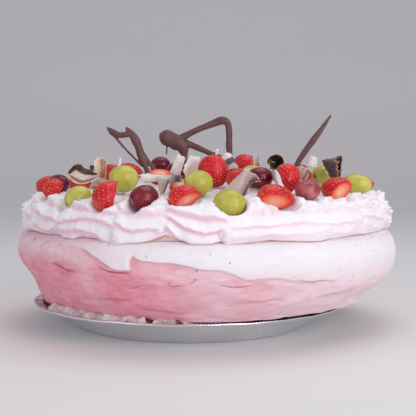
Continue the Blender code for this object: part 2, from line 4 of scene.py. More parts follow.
import bpy
import numpy as np
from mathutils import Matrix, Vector


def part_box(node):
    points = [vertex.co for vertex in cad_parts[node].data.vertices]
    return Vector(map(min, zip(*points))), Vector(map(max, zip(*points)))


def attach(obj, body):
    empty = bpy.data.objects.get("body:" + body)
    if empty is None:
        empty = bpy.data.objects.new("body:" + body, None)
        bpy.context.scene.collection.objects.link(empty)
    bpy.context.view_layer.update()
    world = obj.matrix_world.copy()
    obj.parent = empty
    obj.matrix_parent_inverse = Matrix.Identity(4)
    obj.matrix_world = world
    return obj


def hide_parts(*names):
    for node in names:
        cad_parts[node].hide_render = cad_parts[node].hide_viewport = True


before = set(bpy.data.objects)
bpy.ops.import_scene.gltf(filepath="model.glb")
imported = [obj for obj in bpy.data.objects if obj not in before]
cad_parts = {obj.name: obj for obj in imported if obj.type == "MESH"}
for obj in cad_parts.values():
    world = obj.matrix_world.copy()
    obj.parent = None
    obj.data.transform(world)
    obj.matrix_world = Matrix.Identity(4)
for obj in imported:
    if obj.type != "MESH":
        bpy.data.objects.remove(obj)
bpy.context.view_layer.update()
mm = 0.001
shared = {
    # Strength of the pink bounce light and shade painted on the meringue and cream, 0 for none
    "paintedBounceStrength": 1.0,          # strength of the pink on what faces down, 0 for none
}
dishLow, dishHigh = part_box("foil_dish")
meringueLow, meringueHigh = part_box("meringue")
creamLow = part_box("whipped_cream")[0]
cakeX = (meringueLow.x + meringueHigh.x) / 2
cakeY = (meringueLow.y + meringueHigh.y) / 2
dishX = (dishLow.x + dishHigh.x) / 2
dishY = (dishLow.y + dishHigh.y) / 2


def ripples(points, wavelength, seed, count=16):
    # Sum of sine waves of one wavelength in random directions, scaled to about -1 to 1.
    # points may be stretched beforehand to stretch the pattern.
    rng = np.random.default_rng(seed)
    ways = rng.normal(size=(count, points.shape[-1]))
    ways /= np.linalg.norm(ways, axis=1, keepdims=True)
    ways *= rng.uniform(0.75, 1.3, size=(count, 1)) * 2 * np.pi / wavelength
    shifts = rng.uniform(0, 2 * np.pi, count)
    total = sum(np.sin(points @ way + shift) for way, shift in zip(ways, shifts))
    return total / math.sqrt(count) * 0.9


def smoothStep(low, high, value):
    # 0 below low, 1 above high, an S curve between.
    t = np.clip((value - low) / (high - low), 0, 1)
    return t * t * (3 - 2 * t)


def bandStep(start, full, fading, end, value):
    # 0 up to start, 1 from full to fading, 0 again from end on, S curves between.
    return smoothStep(start, full, value) * (1 - smoothStep(fading, end, value))


def splineBetween(a, b, c, d, f):
    # Catmull-Rom: from b at f = 0 to c at f = 1, with a before and d after them.
    return 0.5 * (2 * b + (c - a) * f + (2 * a - 5 * b + 4 * c - d) * f ** 2
                  + (3 * b - a - 3 * c + d) * f ** 3)


def smoothPath(points, t):
    # Catmull-Rom curve through the points, t from 0 at the first to 1 at the last.
    p = np.asarray(points, float)
    p = np.vstack([2 * p[0] - p[1], p, 2 * p[-1] - p[-2]])
    place = np.clip(t, 0, 1) * (len(p) - 3)
    k = np.minimum(place.astype(int), len(p) - 4)
    f = (place - k)[..., None]
    return splineBetween(p[k], p[k + 1], p[k + 2], p[k + 3], f)


def gridNormals(grid):
    # Cross product of the steps along the columns and down the rows, columns wrapped.
    acrossStep = np.roll(grid, -1, axis=1) - np.roll(grid, 1, axis=1)
    downStep = np.gradient(grid, axis=0)
    normal = np.cross(downStep, acrossStep)
    return normal / np.maximum(np.linalg.norm(normal, axis=-1, keepdims=True), 1e-12)


def newObject(name, verts, faces, sharpAngle=None):
    # A smooth mesh; edges where faces meet at more than sharpAngle degrees stay hard.
    mesh = bpy.data.meshes.new(name)
    mesh.from_pydata(np.asarray(verts, float).tolist(), [], faces)
    mesh.update()
    mesh.shade_smooth()
    if sharpAngle:
        mesh.set_sharp_from_angle(angle=math.radians(sharpAngle))
    piece = bpy.data.objects.new(name, mesh)
    bpy.context.scene.collection.objects.link(piece)
    return piece


def skinFaces(rows, columns):
    # Faces of a grid that is closed round its columns, with a pole vertex before and after it.
    r, c = np.meshgrid(np.arange(rows - 1), np.arange(columns), indexing="ij")
    n = (c + 1) % columns
    quads = np.stack([1 + r * columns + c, 1 + (r + 1) * columns + c, 1 + (r + 1) * columns + n,
                      1 + r * columns + n], -1).reshape(-1, 4)
    c = np.arange(columns)
    n = (c + 1) % columns
    last = rows * columns + 1
    top = np.stack([np.zeros(columns, int), 1 + c, 1 + n], -1)
    bottom = np.stack([np.full(columns, last), last - columns + n, last - columns + c], -1)
    return quads.tolist() + top.tolist() + bottom.tolist()


def joinBodies(bodies):
    # One list of points and one of faces, out of bodies that are each (points, faces).
    starts = np.cumsum([0] + [len(points) for points, shell in bodies]).tolist()
    faces = [[start + index for index in face] for start, (points, shell) in zip(starts, bodies)
             for face in shell]
    return np.vstack([points for points, shell in bodies]), faces


def smallBall(latitudes, columns):
    # A ball of radius 1 with a ring of points at each latitude in degrees, and its faces.
    lat = np.radians(latitudes)
    lon = np.linspace(0, 2 * np.pi, columns, endpoint=False)
    rings = [[math.cos(a) * math.cos(b), math.cos(a) * math.sin(b), math.sin(a)] for a in lat for b in lon]
    return np.vstack([[0, 0, 1], rings, [0, 0, -1]]), skinFaces(len(lat), columns)


def skin(name, grid, top, bottom, sharpAngle=None, marks=None):
    # A closed surface from a (rows, columns, 3) grid and two poles. marks are values for each
    # vertex of the grid, kept as attributes that the finish reads.
    rows, columns = grid.shape[:2]
    verts = np.vstack([[top], grid.reshape(-1, 3), [bottom]])
    piece = newObject(name, verts, skinFaces(rows, columns), sharpAngle)
    for label, values in (marks or {}).items():
        flat = np.concatenate([[values[0].mean()], values.reshape(-1), [values[-1].mean()]])
        addMark(piece, label, flat)
    return piece


def addMark(piece, label, values):
    # Keeps one value for each vertex, for the finish to read.
    mark = piece.data.attributes.new(label, "FLOAT", "POINT")
    mark.data.foreach_set("value", np.asarray(values, np.float32).reshape(-1))


def finishPiece(piece, material, slotName, *nodes):
    # Gives a piece its finish and its place on the body, and hides the solids that it stands for.
    piece.data.materials.clear()
    piece.data.materials.append(material)
    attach(piece, "root")
    if nodes:
        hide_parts(*nodes)
    return piece


def pieceName(node, ending):
    # The node's name as one word, then what the piece is.
    return node.replace("_", "") + ending


def turnMatrix(heading, tilt):
    # Rotation that raises +X by the tilt, then turns it to the heading.
    h, t = math.radians(heading), math.radians(tilt)
    tiltY = np.array([[math.cos(t), 0, -math.sin(t)], [0, 1, 0], [math.sin(t), 0, math.cos(t)]])
    headZ = np.array([[math.cos(h), -math.sin(h), 0], [math.sin(h), math.cos(h), 0], [0, 0, 1]])
    return headZ @ tiltY


def boxMiddle(points):
    # Middle of the box round the points.
    flat = points.reshape(-1, 3)
    return (flat.min(0) + flat.max(0)) / 2


def nodeMiddle(node):
    # Middle of a solid's box.
    low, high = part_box(node)
    return np.array((low + high) / 2)


class Value:
    # A socket that takes + - * / and adds the Math nodes for them.
    def __init__(self, finish, socket):
        self.finish = finish
        self.socket = socket

    def math(self, operation, first, second):
        return self.finish.add("ShaderNodeMath", {"operation": operation}, {0: first, 1: second})

    def __add__(self, other):
        return self.math("ADD", self, other)

    def __sub__(self, other):
        return self.math("SUBTRACT", self, other)

    def __rsub__(self, other):
        return self.math("SUBTRACT", other, self)

    def __mul__(self, other):
        return self.math("MULTIPLY", self, other)

    __radd__ = __add__
    __rmul__ = __mul__


class Finish:
    # One material: its Principled shader, and the nodes that feed it.
    def __init__(self, name, **constants):
        self.material = bpy.data.materials.new(name)
        self.material.use_nodes = True
        self.tree = self.material.node_tree
        self.shader = self.tree.nodes["Principled BSDF"]
        for label, value in constants.items():
            self.shader.inputs[label.replace("_", " ")].default_value = value

    def add(self, kind, settings=None, inputs=None, output=0):
        node = self.tree.nodes.new(kind)
        for label, value in (settings or {}).items():
            if label == "stops":
                self.setStops(node.color_ramp, value)
            else:
                setattr(node, label, value)
        for label, value in (inputs or {}).items():
            self.join(node.inputs[label], value)
        return Value(self, node.outputs[output])

    def join(self, socket, value):
        if isinstance(value, Value):
            self.tree.links.new(value.socket, socket)
        elif isinstance(value, (tuple, list)) and socket.type == "RGBA":
            socket.default_value = (*value[:3], 1.0)
        else:
            socket.default_value = value

    def setStops(self, ramp, stops):
        while len(ramp.elements) < len(stops):
            ramp.elements.new(0.5)
        for element, (place, colour) in zip(ramp.elements, stops):
            element.position = place
            element.color = (*colour, 1.0)

    def feed(self, label, value):
        self.join(self.shader.inputs[label], value)

    def coords(self, scale=(1, 1, 1)):
        place = self.add("ShaderNodeTexCoord", output="Object")
        return self.add("ShaderNodeMapping", {}, {"Vector": place, "Scale": scale})

    def mark(self, label):
        return self.add("ShaderNodeAttribute", {"attribute_name": label}, output="Fac")

    def noise(self, place, scale, detail=3.0, rough=0.5, warp=0.0):
        return self.add("ShaderNodeTexNoise", {}, {"Vector": place, "Scale": scale, "Detail": detail,
                                                   "Roughness": rough, "Distortion": warp})

    def spots(self, place, scale, size, soft):
        # 1 inside small round spots, 0 outside.
        distance = self.add("ShaderNodeTexVoronoi", {}, {"Vector": place, "Scale": scale})
        return self.between(distance, size + soft, size)

    def between(self, value, low, high):
        # 0 at low, 1 at high, straight between and held outside.
        return self.add("ShaderNodeMapRange", {}, {"Value": value, "From Min": low, "From Max": high})

    def ramp(self, value, stops):
        return self.add("ShaderNodeValToRGB", {"stops": stops}, {"Fac": value})

    def blend(self, factor, first, second):
        node = self.tree.nodes.new("ShaderNodeMix")
        node.data_type = "RGBA"
        for index, value in ((0, factor), (6, first), (7, second)):
            self.join(node.inputs[index], value)
        return Value(self, node.outputs[2])

    def bump(self, height, distance, strength=1.0):
        normal = self.add("ShaderNodeBump", {}, {"Height": height, "Distance": distance,
                                                 "Strength": strength})
        self.feed("Normal", normal)


dishRadii = {"base": 91.5 * mm, "wall": 118 * mm}
dishDesign = {
    "columns": 900, "wallRows": 26, "thickness": 0.35 * mm,
    "creases": 110, "creaseDepth": 0.8 * mm, "creaseSlant": 7.0,
    "beads": 300, "beadDepth": 0.22 * mm, "rimRipple": 0.25 * mm, "beadRadius": 0.95 * mm,
    "flatDrop": 0.75 * mm,    # how far the flat rim lies below the top of its bead
    "wallDrop": 0.9 * mm,     # the same for the wall's upper end
}


def foilFinish():
    # Bright foil: fine scratches along the wall and dull patches.
    finish = Finish("crimpedFoil", Metallic=1.0)
    place = finish.coords()
    fine = finish.noise(finish.coords((1, 1, 6)), 260, 4)
    patches = finish.noise(place, 30, 2)
    finish.feed("Base Color", finish.blend(patches, (0.74, 0.74, 0.77), (0.90, 0.90, 0.92)))
    finish.feed("Roughness", finish.between(patches, 0.2, 0.8) * 0.14 + 0.16)
    finish.bump(fine, 0.10 * mm, 0.35)
    return finish.material


def makeDish():
    # A turned profile, with slanting creases in the wall and small beads round the rim.
    d = dishDesign
    height = dishHigh.z
    thickness, beadRadius = d["thickness"], d["beadRadius"]
    bearing = np.linspace(-np.pi, np.pi, d["columns"], endpoint=False)
    baseRadius, wallRadius, rimRadius = dishRadii["base"], dishRadii["wall"], dishHigh.x - dishX
    wall = np.linspace(0, 1, d["wallRows"])
    # Inner side from near the middle out to the rim, then the bead, then the outer side back in.
    inner = [(baseRadius * f, thickness) for f in (0.35, 0.7, 0.94, 0.985)]
    wallRise = height - d["wallDrop"] - thickness
    inner += [(baseRadius + (wallRadius - baseRadius) * f, thickness + wallRise * f) for f in wall]
    beadMiddle = rimRadius - beadRadius
    flatWidth = beadMiddle - wallRadius - 1.2 * mm
    flat = [(wallRadius + flatWidth * f, height - d["flatDrop"]) for f in (0.25, 0.5, 0.75, 1)]
    turn = np.radians(np.linspace(150, -170, 15))
    bead = [(beadMiddle + beadRadius * math.cos(a), height - beadRadius + beadRadius * math.sin(a))
            for a in turn]
    under = [(radius, level - thickness) for radius, level in flat[::-1]]
    outer = [(radius + thickness, level - thickness) for radius, level in inner[::-1]]
    profile = np.array(inner + flat + bead + under + outer)
    radius, level = profile[:, 0:1], profile[:, 1:2]
    onWall = smoothStep(0.06, 0.3, (radius - baseRadius) / (wallRadius - baseRadius))
    onWall = onWall * (1 - smoothStep(-1.5 * mm, 3 * mm, radius - wallRadius))
    uneven = 0.65 + 0.35 * np.sin(bearing * 11 + 2 * np.sin(bearing * 3))
    phase = d["creases"] * bearing + d["creaseSlant"] * level / height * (1 + 0.4 * np.sin(5 * bearing))
    phase = phase + 1.1 * np.sin(bearing * 7) + 0.8 * np.sin(bearing * 17 + 1)
    crease = (np.abs(np.sin(phase / 2)) ** 0.7 - 0.6) * d["creaseDepth"] * uneven * onWall
    onRim = smoothStep(-2 * mm, 1 * mm, radius - wallRadius)
    beads = np.sin(d["beads"] * bearing + 1.5 * np.sin(9 * bearing)) * d["beadDepth"] * onRim
    wave = (np.sin(13 * bearing) + np.sin(29 * bearing + 1)) * 0.5 * d["rimRipple"] * onRim
    radius = radius + crease + 0.3 * beads
    level = level + (beads + wave) * smoothStep(0.5, 1.0, level / height)
    level = np.maximum(level, np.where(profile[:, 1:2] <= 0.0001 * mm, 0, 0.02 * mm))
    grid = np.stack([dishX + radius * np.sin(bearing), dishY - radius * np.cos(bearing),
                     np.broadcast_to(level, radius.shape)], -1)
    dish = skin("foilDish", grid, (dishX, dishY, thickness), (dishX, dishY, 0.0), 50)
    print("foil dish:", len(dish.data.polygons), "faces")
    return finishPiece(dish, foilFinish(), "foil", "foil_dish")


meringueDesign = {
    # How much painted pink bounce light and shade it gets: bearing, share
    "bounceShare": [(-180, 0.9), (-60, 1.0), (-22, 1.08), (-8, 0.80), (4, 0.50), (16, 0.84), (32, 0.80),
              (75, 0.52), (120, 0.5), (150, 0.8), (180, 0.9)],
    "columns": 760, "sideRows": 112,
    "outline": [(142.5, 77.6), (146.6, 75.0), (149.8, 70.5), (151.5, 64.5), (151.2, 58), (149.2, 52),
                (146.2, 46), (142.2, 39.5), (137.5, 33), (131.5, 27)],
    "edgeRadius": 124.5 * mm, "floor": 0.9 * mm, "topRings": (60, 110, 130, 139),
    # Height of the edge above the dish's rim in mm by bearing
    "edgeLift": [(-180, 1.2), (-110, 1.5), (-66, 2.6), (-50, 2.8), (-37, 3.0), (-27, 1.8), (-18, 0.9),
                 (-5, 0.7), (6, 0.8), (17, 1.2), (32, 2.4), (52, 3.4), (64, 4.2), (110, 4.2), (150, 1.8),
                 (180, 1.2)],
    # Height in mm where the crust ends in a ledge, and how strong that ledge is, by bearing
    "crust": [(-180, 60), (-150, 55), (-120, 57), (-90, 66), (-60, 72), (-40, 73), (-34, 71.5), (-29.5, 66),
              (-25, 60.5), (-22, 59), (-19.9, 58.6), (-19.3, 68), (-17, 65.5), (-13, 65), (-6, 63), (1, 60.5),
              (4, 59.5), (7, 57), (9.5, 54.5), (12, 53.5), (17, 54.5), (24, 50.5), (30, 48), (60, 46),
              (90, 52), (110, 55), (140, 50), (165, 58), (180, 60)],
    "crustStrength": [(-180, 0.8), (-120, 0.6), (-75, 0.3), (-50, 0.25), (-36, 0.6), (-28, 1), (8, 1),
                      (14, 0.7), (24, 0.35), (45, 0.2), (80, 0.3), (120, 0.9), (160, 1), (180, 0.8)],
    "crustStep": 2.6 * mm,
    "waist": 43 * mm, "rightFullness": 3.5 * mm, "leftFullness": -2.5 * mm,
    # Cracks: bearing, height, half length in degrees, rise along it, sag at its middle, width, depth (mm)
    "cracks": [(-24.5, 58, 4.5, -1.5, 0.6, 0.9, 1.8), (-17.5, 47.5, 4, 2.2, 0.4, 0.8, 0.7),
               (-8.2, 49.5, 2, 0.3, 0.5, 0.8, 1.2), (-42, 57.5, 5, -2.5, 0.8, 1.6, 1.2),
               (-51, 71.5, 1.6, 3.0, -1.5, 0.6, 1.0), (-44.5, 73, 0.8, 2.0, 0, 0.6, 1.0),
               (7.5, 49, 4.5, 0.2, 0.3, 0.7, 1.1), (-3.5, 52.5, 1.2, 1.6, 0, 0.7, 0.8),
               (30, 50.5, 7, -0.8, 0.8, 1.2, 0.8), (42.5, 50.5, 0.5, 3.0, 0, 0.6, 1.0),
               (22.5, 27.5, 0.6, 3.5, 0.5, 0.7, 1.4), (40, 40, 8, 2.0, 1.0, 1.4, 0.7),
               (-30, 37, 9, 1.0, 1.0, 1.6, 0.6), (-12, 30, 8, -1.0, 1.2, 1.6, 0.7),
               (14, 36, 9, 2.0, -1.0, 1.5, 0.6), (75, 55, 3, 2.0, 0.6, 1.0, 1.3),
               (95, 47, 5, -2, 0.6, 1.0, 1.4), (118, 60, 5, 2, 1, 0.9, 1.4),
               (140, 42, 6, -2, 1, 1.2, 1.2), (160, 52, 5, 1, -1, 0.9, 1.6),
               (-170, 45, 6, 2, 1, 1.0, 1.4), (-150, 62, 4, -2, 1, 0.9, 1.2),
               (-128, 46, 6, 1, 1, 1.3, 1.2), (-105, 58, 4, 2, 0, 0.9, 1.2),
               (-88, 44, 5, -2, 1, 1.2, 1.0), (-68, 38, 5, 2, 0.6, 1.2, 0.8)],
    # One deep split at the right: bearing, low and high end, width, depth
    "split": (64.5, 22, 44, 1.3, 7.0),
    # Bearings where the lobe past the split grows, is full, fades and ends, and the same for the
    # bulge before the split
    "lobe": (64.5, 67.5, 104, 118), "front": (34, 56, 62.5, 64.5),
    "lobeLift": 9.5 * mm, "lobeBulge": 5.5 * mm, "lobeTuck": 4.5 * mm, "frontBulge": 4.0 * mm,
}


def dishDistance(bearing, radius):
    # Distance from the cake's middle to a circle of the dish, which is off to one side.
    off = dishX - cakeX
    return off * np.sin(bearing) + np.sqrt(radius ** 2 - (off * np.cos(bearing)) ** 2)


def turnedTo(bearing, radius, level):
    # Points round the cake's middle; bearing 0 is the front, and it grows to the right.
    return np.stack([cakeX + radius * np.sin(bearing), cakeY - radius * np.cos(bearing), level], -1)


def ringAt(bearing, radius, level):
    # A ring of points; radius and level are each one value or one for each bearing.
    return turnedTo(bearing, radius + 0 * bearing, level + 0 * bearing)


def tableAt(table, bearing):
    # The table's value, straight between its rows of (degrees, value).
    angle = np.degrees(bearing)
    return np.interp(angle, [row[0] for row in table], [row[1] for row in table])


def cracksOf(bearing, level):
    # Depth of the cracks at each point, and a 0 to 1 mark of the painted shade in them.
    depth = np.zeros_like(level)
    dark = np.zeros_like(level)
    angle = np.degrees(bearing)
    for middle, height, half, rise, sag, width, deep in meringueDesign["cracks"]:
        along = (angle - middle) / half
        inside = np.clip(1 - along ** 2, 0, 1)
        wander = 0.35 * np.sin(angle * 0.83 + height) + 0.16 * np.sin(angle * 2.1 + 2 * height)
        centre = (height + rise * along - sag * inside + wander) * mm
        cut = inside ** 0.5 * np.exp(-((level - centre) / (width * 0.6 * mm)) ** 2)
        depth += cut * deep * mm
        dark = np.maximum(dark, cut * min(1, deep / 1.4))
    middle, low, high, width, deep = meringueDesign["split"]
    height = bandStep(low * mm - 2 * mm, low * mm, high * mm - 6 * mm, high * mm, level)
    bend = middle + 1.2 * np.sin(level / (6 * mm))
    cut = height * np.exp(-((angle - bend) / width) ** 2)
    return depth + cut * deep * mm, np.maximum(dark, 0.5 * cut)


def meringueSide(bearing, t):
    # Radius and height of the side, t from 0 at the shoulder to 1 at the edge over the dish.
    m = meringueDesign
    path = smoothPath(m["outline"], np.minimum(t / 0.9, 1)) * mm
    radius, level = path[..., 0], path[..., 1]
    edgeRadius = np.maximum(m["edgeRadius"], dishDistance(bearing, dishRadii["wall"]) + 2 * mm)
    edgeLevel = dishHigh.z + tableAt(m["edgeLift"], bearing) * mm
    lobe = bandStep(*m["lobe"], np.degrees(bearing))
    edgeRadius = edgeRadius - m["lobeTuck"] * lobe
    low = smoothStep(0.62, 1.0, t)
    radius = radius * (1 - low) + edgeRadius * low
    level = level * (1 - low) + edgeLevel * low
    lift = lobe * m["lobeLift"] * bandStep(0.7, 0.88, 0.93, 1.0, t)
    bulge = lobe * m["lobeBulge"] * np.exp(-((t - 0.85) / 0.08) ** 2)
    front = bandStep(*m["front"], np.degrees(bearing))
    bulge = bulge + front * m["frontBulge"] * np.exp(-((t - 0.90) / 0.09) ** 2)
    return radius + bulge, level + lift


def meringueGrid():
    # The side with its ledge, leans, folds, grain and cracks, and the marks that go with them.
    m = meringueDesign
    bearing = np.linspace(-np.pi, np.pi, m["columns"], endpoint=False)[None, :]
    t = np.linspace(0, 1, m["sideRows"])[:, None]
    bearing, t = np.broadcast_arrays(bearing, t)
    radius, level = meringueSide(bearing, t)
    where = turnedTo(bearing, radius, level)
    shoulder = smoothStep(0.0, 0.08, t)
    foot = 1 - smoothStep(0.93, 1.0, t)
    free = shoulder * foot
    # Crust that ends in a broken ledge, with the softer crumb set back below it.
    edge = tableAt(m["crust"], bearing) * mm + ripples(where, 14 * mm, 3) * 0.35 * mm
    strength = tableAt(m["crustStrength"], bearing)
    above = smoothStep(-0.7 * mm, 0.7 * mm, level - edge)
    below = np.exp(-np.maximum(0, edge - level) / (15 * mm))
    ledge = (above * 0.45 - (1 - above) * 0.55 * below) * m["crustStep"] * strength
    # Slow bulges, flat folds and a fine grain.
    side = np.sin(bearing)
    lean = np.where(side > 0, m["rightFullness"], m["leftFullness"]) * side ** 2
    lean = lean * np.exp(-((level - m["waist"]) / (12 * mm)) ** 2)
    slow = (0.7 * np.sin(3 * bearing + 0.6) + 0.42 * np.sin(5 * bearing - 1.1)) * mm
    stretched = where * np.array([1, 1, 3.4])
    below = 1 - above
    folds = ripples(stretched, 60 * mm, 11) * (0.55 * below + 0.25) * mm
    folds += -np.abs(ripples(stretched, 34 * mm, 12)) * 0.35 * below * mm + 0.15 * below * mm
    small = ripples(where * np.array([1, 1, 1.6]), 9 * mm, 13) * (0.12 + 0.12 * below) * mm
    grain = ripples(where, 3.4 * mm, 14) * 0.07 * mm
    depth, dark = cracksOf(bearing, level)
    radius = radius + free * (ledge + lean + slow + folds + small + grain - depth)
    edgeWave = ripples(where * np.array([1, 1, 0.2]), 17 * mm, 15) * 1.1 * mm
    level = level + (1 - foot) * np.maximum(0, edgeWave) + free * ripples(where, 20 * mm, 16) * 0.4 * mm
    return bearing, radius, level, above, dark * free, strength


def meringueFinish():
    # Off-white crust, painted pink bounce light and shade where the mark says so, painted shade in the pits
    # and cracks, and under the edge near-black painted shade with a baked brown underside.
    finish = Finish("bakedMeringue", Roughness=0.8, Subsurface_Weight=0.12, Subsurface_Scale=0.004,
                    Subsurface_Radius=(1.0, 0.5, 0.4), Specular_IOR_Level=0.3)
    place = finish.coords()
    broad = finish.noise(place, 22, 3)
    cloudy = finish.noise(finish.coords((1, 1, 2.5)), 70, 4, 0.6)
    fine = finish.noise(place, 900, 3, 0.6)
    # Painted pink bounce light and shade, as much as the mark says.
    pink = finish.mark("pink")
    white = finish.blend(cloudy, (0.82, 0.77, 0.82), (0.92, 0.89, 0.93))
    bouncePink = finish.blend(finish.between(cloudy, 0.3, 0.75), (0.76, 0.23, 0.31), (0.89, 0.43, 0.52))
    colour = finish.blend(pink * (0.8 + 0.4 * broad), white, bouncePink)
    # Small dark spots of painted shade in the pits that the bump dents in.
    pits = finish.spots(place, 135, 0.055, 0.05)
    sparse = finish.between(finish.noise(place, 60, 1), 0.52, 0.62)
    colour = finish.blend(pits * sparse * 0.75, colour, (0.34, 0.08, 0.08))
    toasted = finish.between(finish.noise(place, 33, 3, 0.6), 0.62, 0.75)
    colour = finish.blend(toasted * 0.22, colour, (0.80, 0.52, 0.36))
    # Painted shade in the cracks and the split, darker where they are deeper.
    colour = finish.blend(finish.mark("crack"), colour, (0.42, 0.10, 0.10))
    drips = finish.between(finish.noise(finish.coords((1, 1, 0.6)), 210, 4, 0.65), 0.66, 0.70)
    colour = finish.blend(drips * finish.mark("syrup"), colour, (0.55, 0.22, 0.07))
    # Near-black painted shade under the edge, with a baked brown underside.
    colour = finish.blend(finish.mark("scorch"), colour, (0.07, 0.030, 0.022))
    finish.feed("Base Color", colour)
    finish.feed("Roughness", 0.72 + 0.2 * cloudy)
    finish.bump(fine * 0.25 + cloudy * 0.7 - pits * sparse * 1.2, 0.5 * mm, 0.7)
    return finish.material


def makeMeringue():
    # Rings of the flat top, the side, and the bottom that follows the dish's inside.
    m = meringueDesign
    bearing, radius, level, above, dark, strength = meringueGrid()
    side = turnedTo(bearing, radius, level)
    one = bearing[:1]
    topLevel = creamLow.z - 0.3 * mm
    top = [ringAt(one, r * mm, topLevel) for r in m["topRings"]]
    rim, floor = dishHigh.z, m["floor"]
    bottom = [ringAt(one, radius[-1:] - 2.5 * mm, level[-1:] - 0.4 * mm),
              ringAt(one, dishDistance(one, dishRadii["wall"] - 0.8 * mm), rim + 0.5 * mm),
              ringAt(one, dishDistance(one, dishRadii["wall"] - 2.5 * mm), rim - 1.5 * mm),
              ringAt(one, dishDistance(one, dishRadii["base"] - 1.5 * mm), floor),
              ringAt(one, 45 * mm, floor)]
    grid = np.concatenate([*top, side, *bottom])
    onSide = slice(len(top), -len(bottom))
    sideEnd, bottomStart = -len(bottom) - 1, -len(bottom)
    facingDown = np.clip(-gridNormals(grid)[onSide, :, 2], 0, 1)
    marks = {label: np.zeros(grid.shape[:2]) for label in ("pink", "crack", "syrup", "scorch")}
    angle = np.degrees(bearing)
    # Painted pink bounce light and shade: below the crust's ledge, where the side faces down, low on the side
    # and on the shaded left.
    shade = smoothStep(-18, -42, angle) * (1 - smoothStep(120, 160, np.abs(angle)))
    lower = 1 - above
    soft = smoothStep(66 * mm, 40 * mm, level)
    amount = lower * (0.25 + 0.75 * strength) * (0.82 + 0.18 * smoothStep(0.05, 0.5, facingDown))
    amount = np.maximum(amount, soft * (0.42 + 0.3 * strength))
    amount = np.maximum(amount, shade * (0.42 + 0.56 * smoothStep(72 * mm, 54 * mm, level)))
    amount = amount * tableAt(m["bounceShare"], bearing)
    marks["pink"][onSide] = amount * shared["paintedBounceStrength"]
    marks["pink"][bottomStart:] = marks["pink"][sideEnd]
    marks["crack"][onSide] = dark
    aside = 0.35 + 0.65 * smoothStep(8, 40, np.abs(angle - 5))
    marks["syrup"][onSide] = smoothStep(62 * mm, 74 * mm, level) * aside
    # Near-black under the edge: painted shade under the overhang, and a baked brown underside; less where the
    # front left is dry.
    dry = bandStep(-75, -66, -12, -2, angle[:1])
    marks["scorch"][bottomStart:bottomStart + 2] = 1 - 0.75 * dry
    marks["scorch"][sideEnd] = 0.2 * (1 - dry)
    piece = skin("meringueShell", grid, (cakeX, cakeY, topLevel), (cakeX, cakeY, floor), None, marks)
    print("meringue:", len(piece.data.polygons), "faces")
    return finishPiece(piece, meringueFinish(), "meringue", "meringue")


# Grapes by node: length and width in mm, heading and tilt in degrees.
grapeDesign = {
    "green_grape_1": (20.5, 17, 30, 25), "green_grape_2": (22, 20, 0, 8), "green_grape_3": (21, 18, 10, 0),
    "green_grape_4": (22.5, 18.5, -20, -8), "green_grape_5": (20, 17, 15, 0),
    "green_grape_6": (22.5, 15.5, -8, -6), "green_grape_7": (19, 16, 30, 10),
    "green_grape_8": (21, 18, 40, 0), "green_grape_9": (21, 18, -50, 5), "red_grape_1": (24, 16.5, -55, 5),
    "red_grape_2": (20.5, 18.5, 25, 15), "red_grape_3": (17, 15, 5, 0), "red_grape_4": (19, 15, 10, 5),
    "red_grape_5": (19, 16, 10, 0), "red_grape_6": (18.5, 14.5, 0, 3), "red_grape_7": (20.5, 17, 10, 5),
}
# Strawberries: length, width, heading, tilt, and the flat cut: the way it faces, distance in mm.
strawberryDesign = {
    "strawberry_1": (23, 20, 160, 20, None), "strawberry_2": (19, 15, -130, -15, (0.6, 0.6, -0.5, 3)),
    "strawberry_3": (24, 20.5, 18, 48, (0.95, 0.12, -0.2, 4.1)),
    "strawberry_4": (24, 17, -35, -10, (0, 0.3, -0.95, 3)),
    "strawberry_5": (22, 16, 20, 5, (0, 0.3, -0.95, 3)),
    "strawberry_6": (19, 14, 0, 0, (0, -0.5, 0.87, 2.5)),
    "strawberry_7": (17, 13, -170, -8, (0.1, -0.75, 0.65, 1.5)), "strawberry_8": (26, 22, -48, -48, None),
    "strawberry_9": (23, 18, 0, 12, (0.45, -0.55, -0.7, 3)),
    "strawberry_10": (18, 12, 25, 28, (0.3, 0.6, -0.74, 2.5)),
    "strawberry_11": (24, 18, -35, -8, (0, 0.3, -0.95, 3)), "strawberry_12": (23, 18.5, -80, -66, None),
    "strawberry_13": (27, 19, 5, -3, (0.05, -0.7, -0.71, 3.6)),
    "strawberry_14": (24, 19.5, 160, 5, (0.5, -0.62, -0.6, 4)),
    "strawberry_15": (17, 14, 30, 0, (0.1, -0.9, 0.4, 1)), "strawberry_16": (22, 17, 160, 15, None),
    "strawberry_17": (21, 17, -20, 6, (0, 0.4, -0.9, 4)), "strawberry_18": (24, 19, -120, 15, None),
    "strawberry_19": (25, 20, 60, 10, None), "strawberry_20": (25, 20, 80, 15, None),
    "strawberry_21": (24, 19, -140, -10, (0, 0.2, -0.98, 3)),
}
fruitShape = {
    "grapeGrid": (36, 56), "strawberryGrid": (66, 96),
    "seeds": 125, "seedSize": (0.7 * mm, 0.4 * mm, 0.3 * mm),
    "dimpleWidth": 0.85 * mm, "dimpleDepth": 0.42 * mm,
    # Where the ledge in front of a fruit differs from the first: turn of its direction (degrees),
    # reach and drop (mm)
    "ledge": (0, 7, 0.5),
    "ledges": {"green_grape_1": (-55, 8, 2.5), "red_grape_2": (0, 9, 3), "strawberry_9": (0, 8, 2.5),
               "strawberry_13": (0, 8, 2)},
    "slopeStart": 110 * mm,   # fruit further out than this lies on the cream's outer slope
}
hollows = []


def bodyGrid(rows, columns, length, width, outline):
    # A turned body along X: rings from the stem end to the tip, radius from the outline of
    # their place along it. Rings are closer together at both ends.
    along = -np.cos(np.pi * (np.arange(rows) + 0.5) / rows)
    angle = np.linspace(0, 2 * np.pi, columns, endpoint=False)
    along, angle = np.meshgrid(along, angle, indexing="ij")
    radius = outline(along, angle) * width / 2
    return along, np.stack([along * length / 2, radius * np.cos(angle), radius * np.sin(angle)], -1)


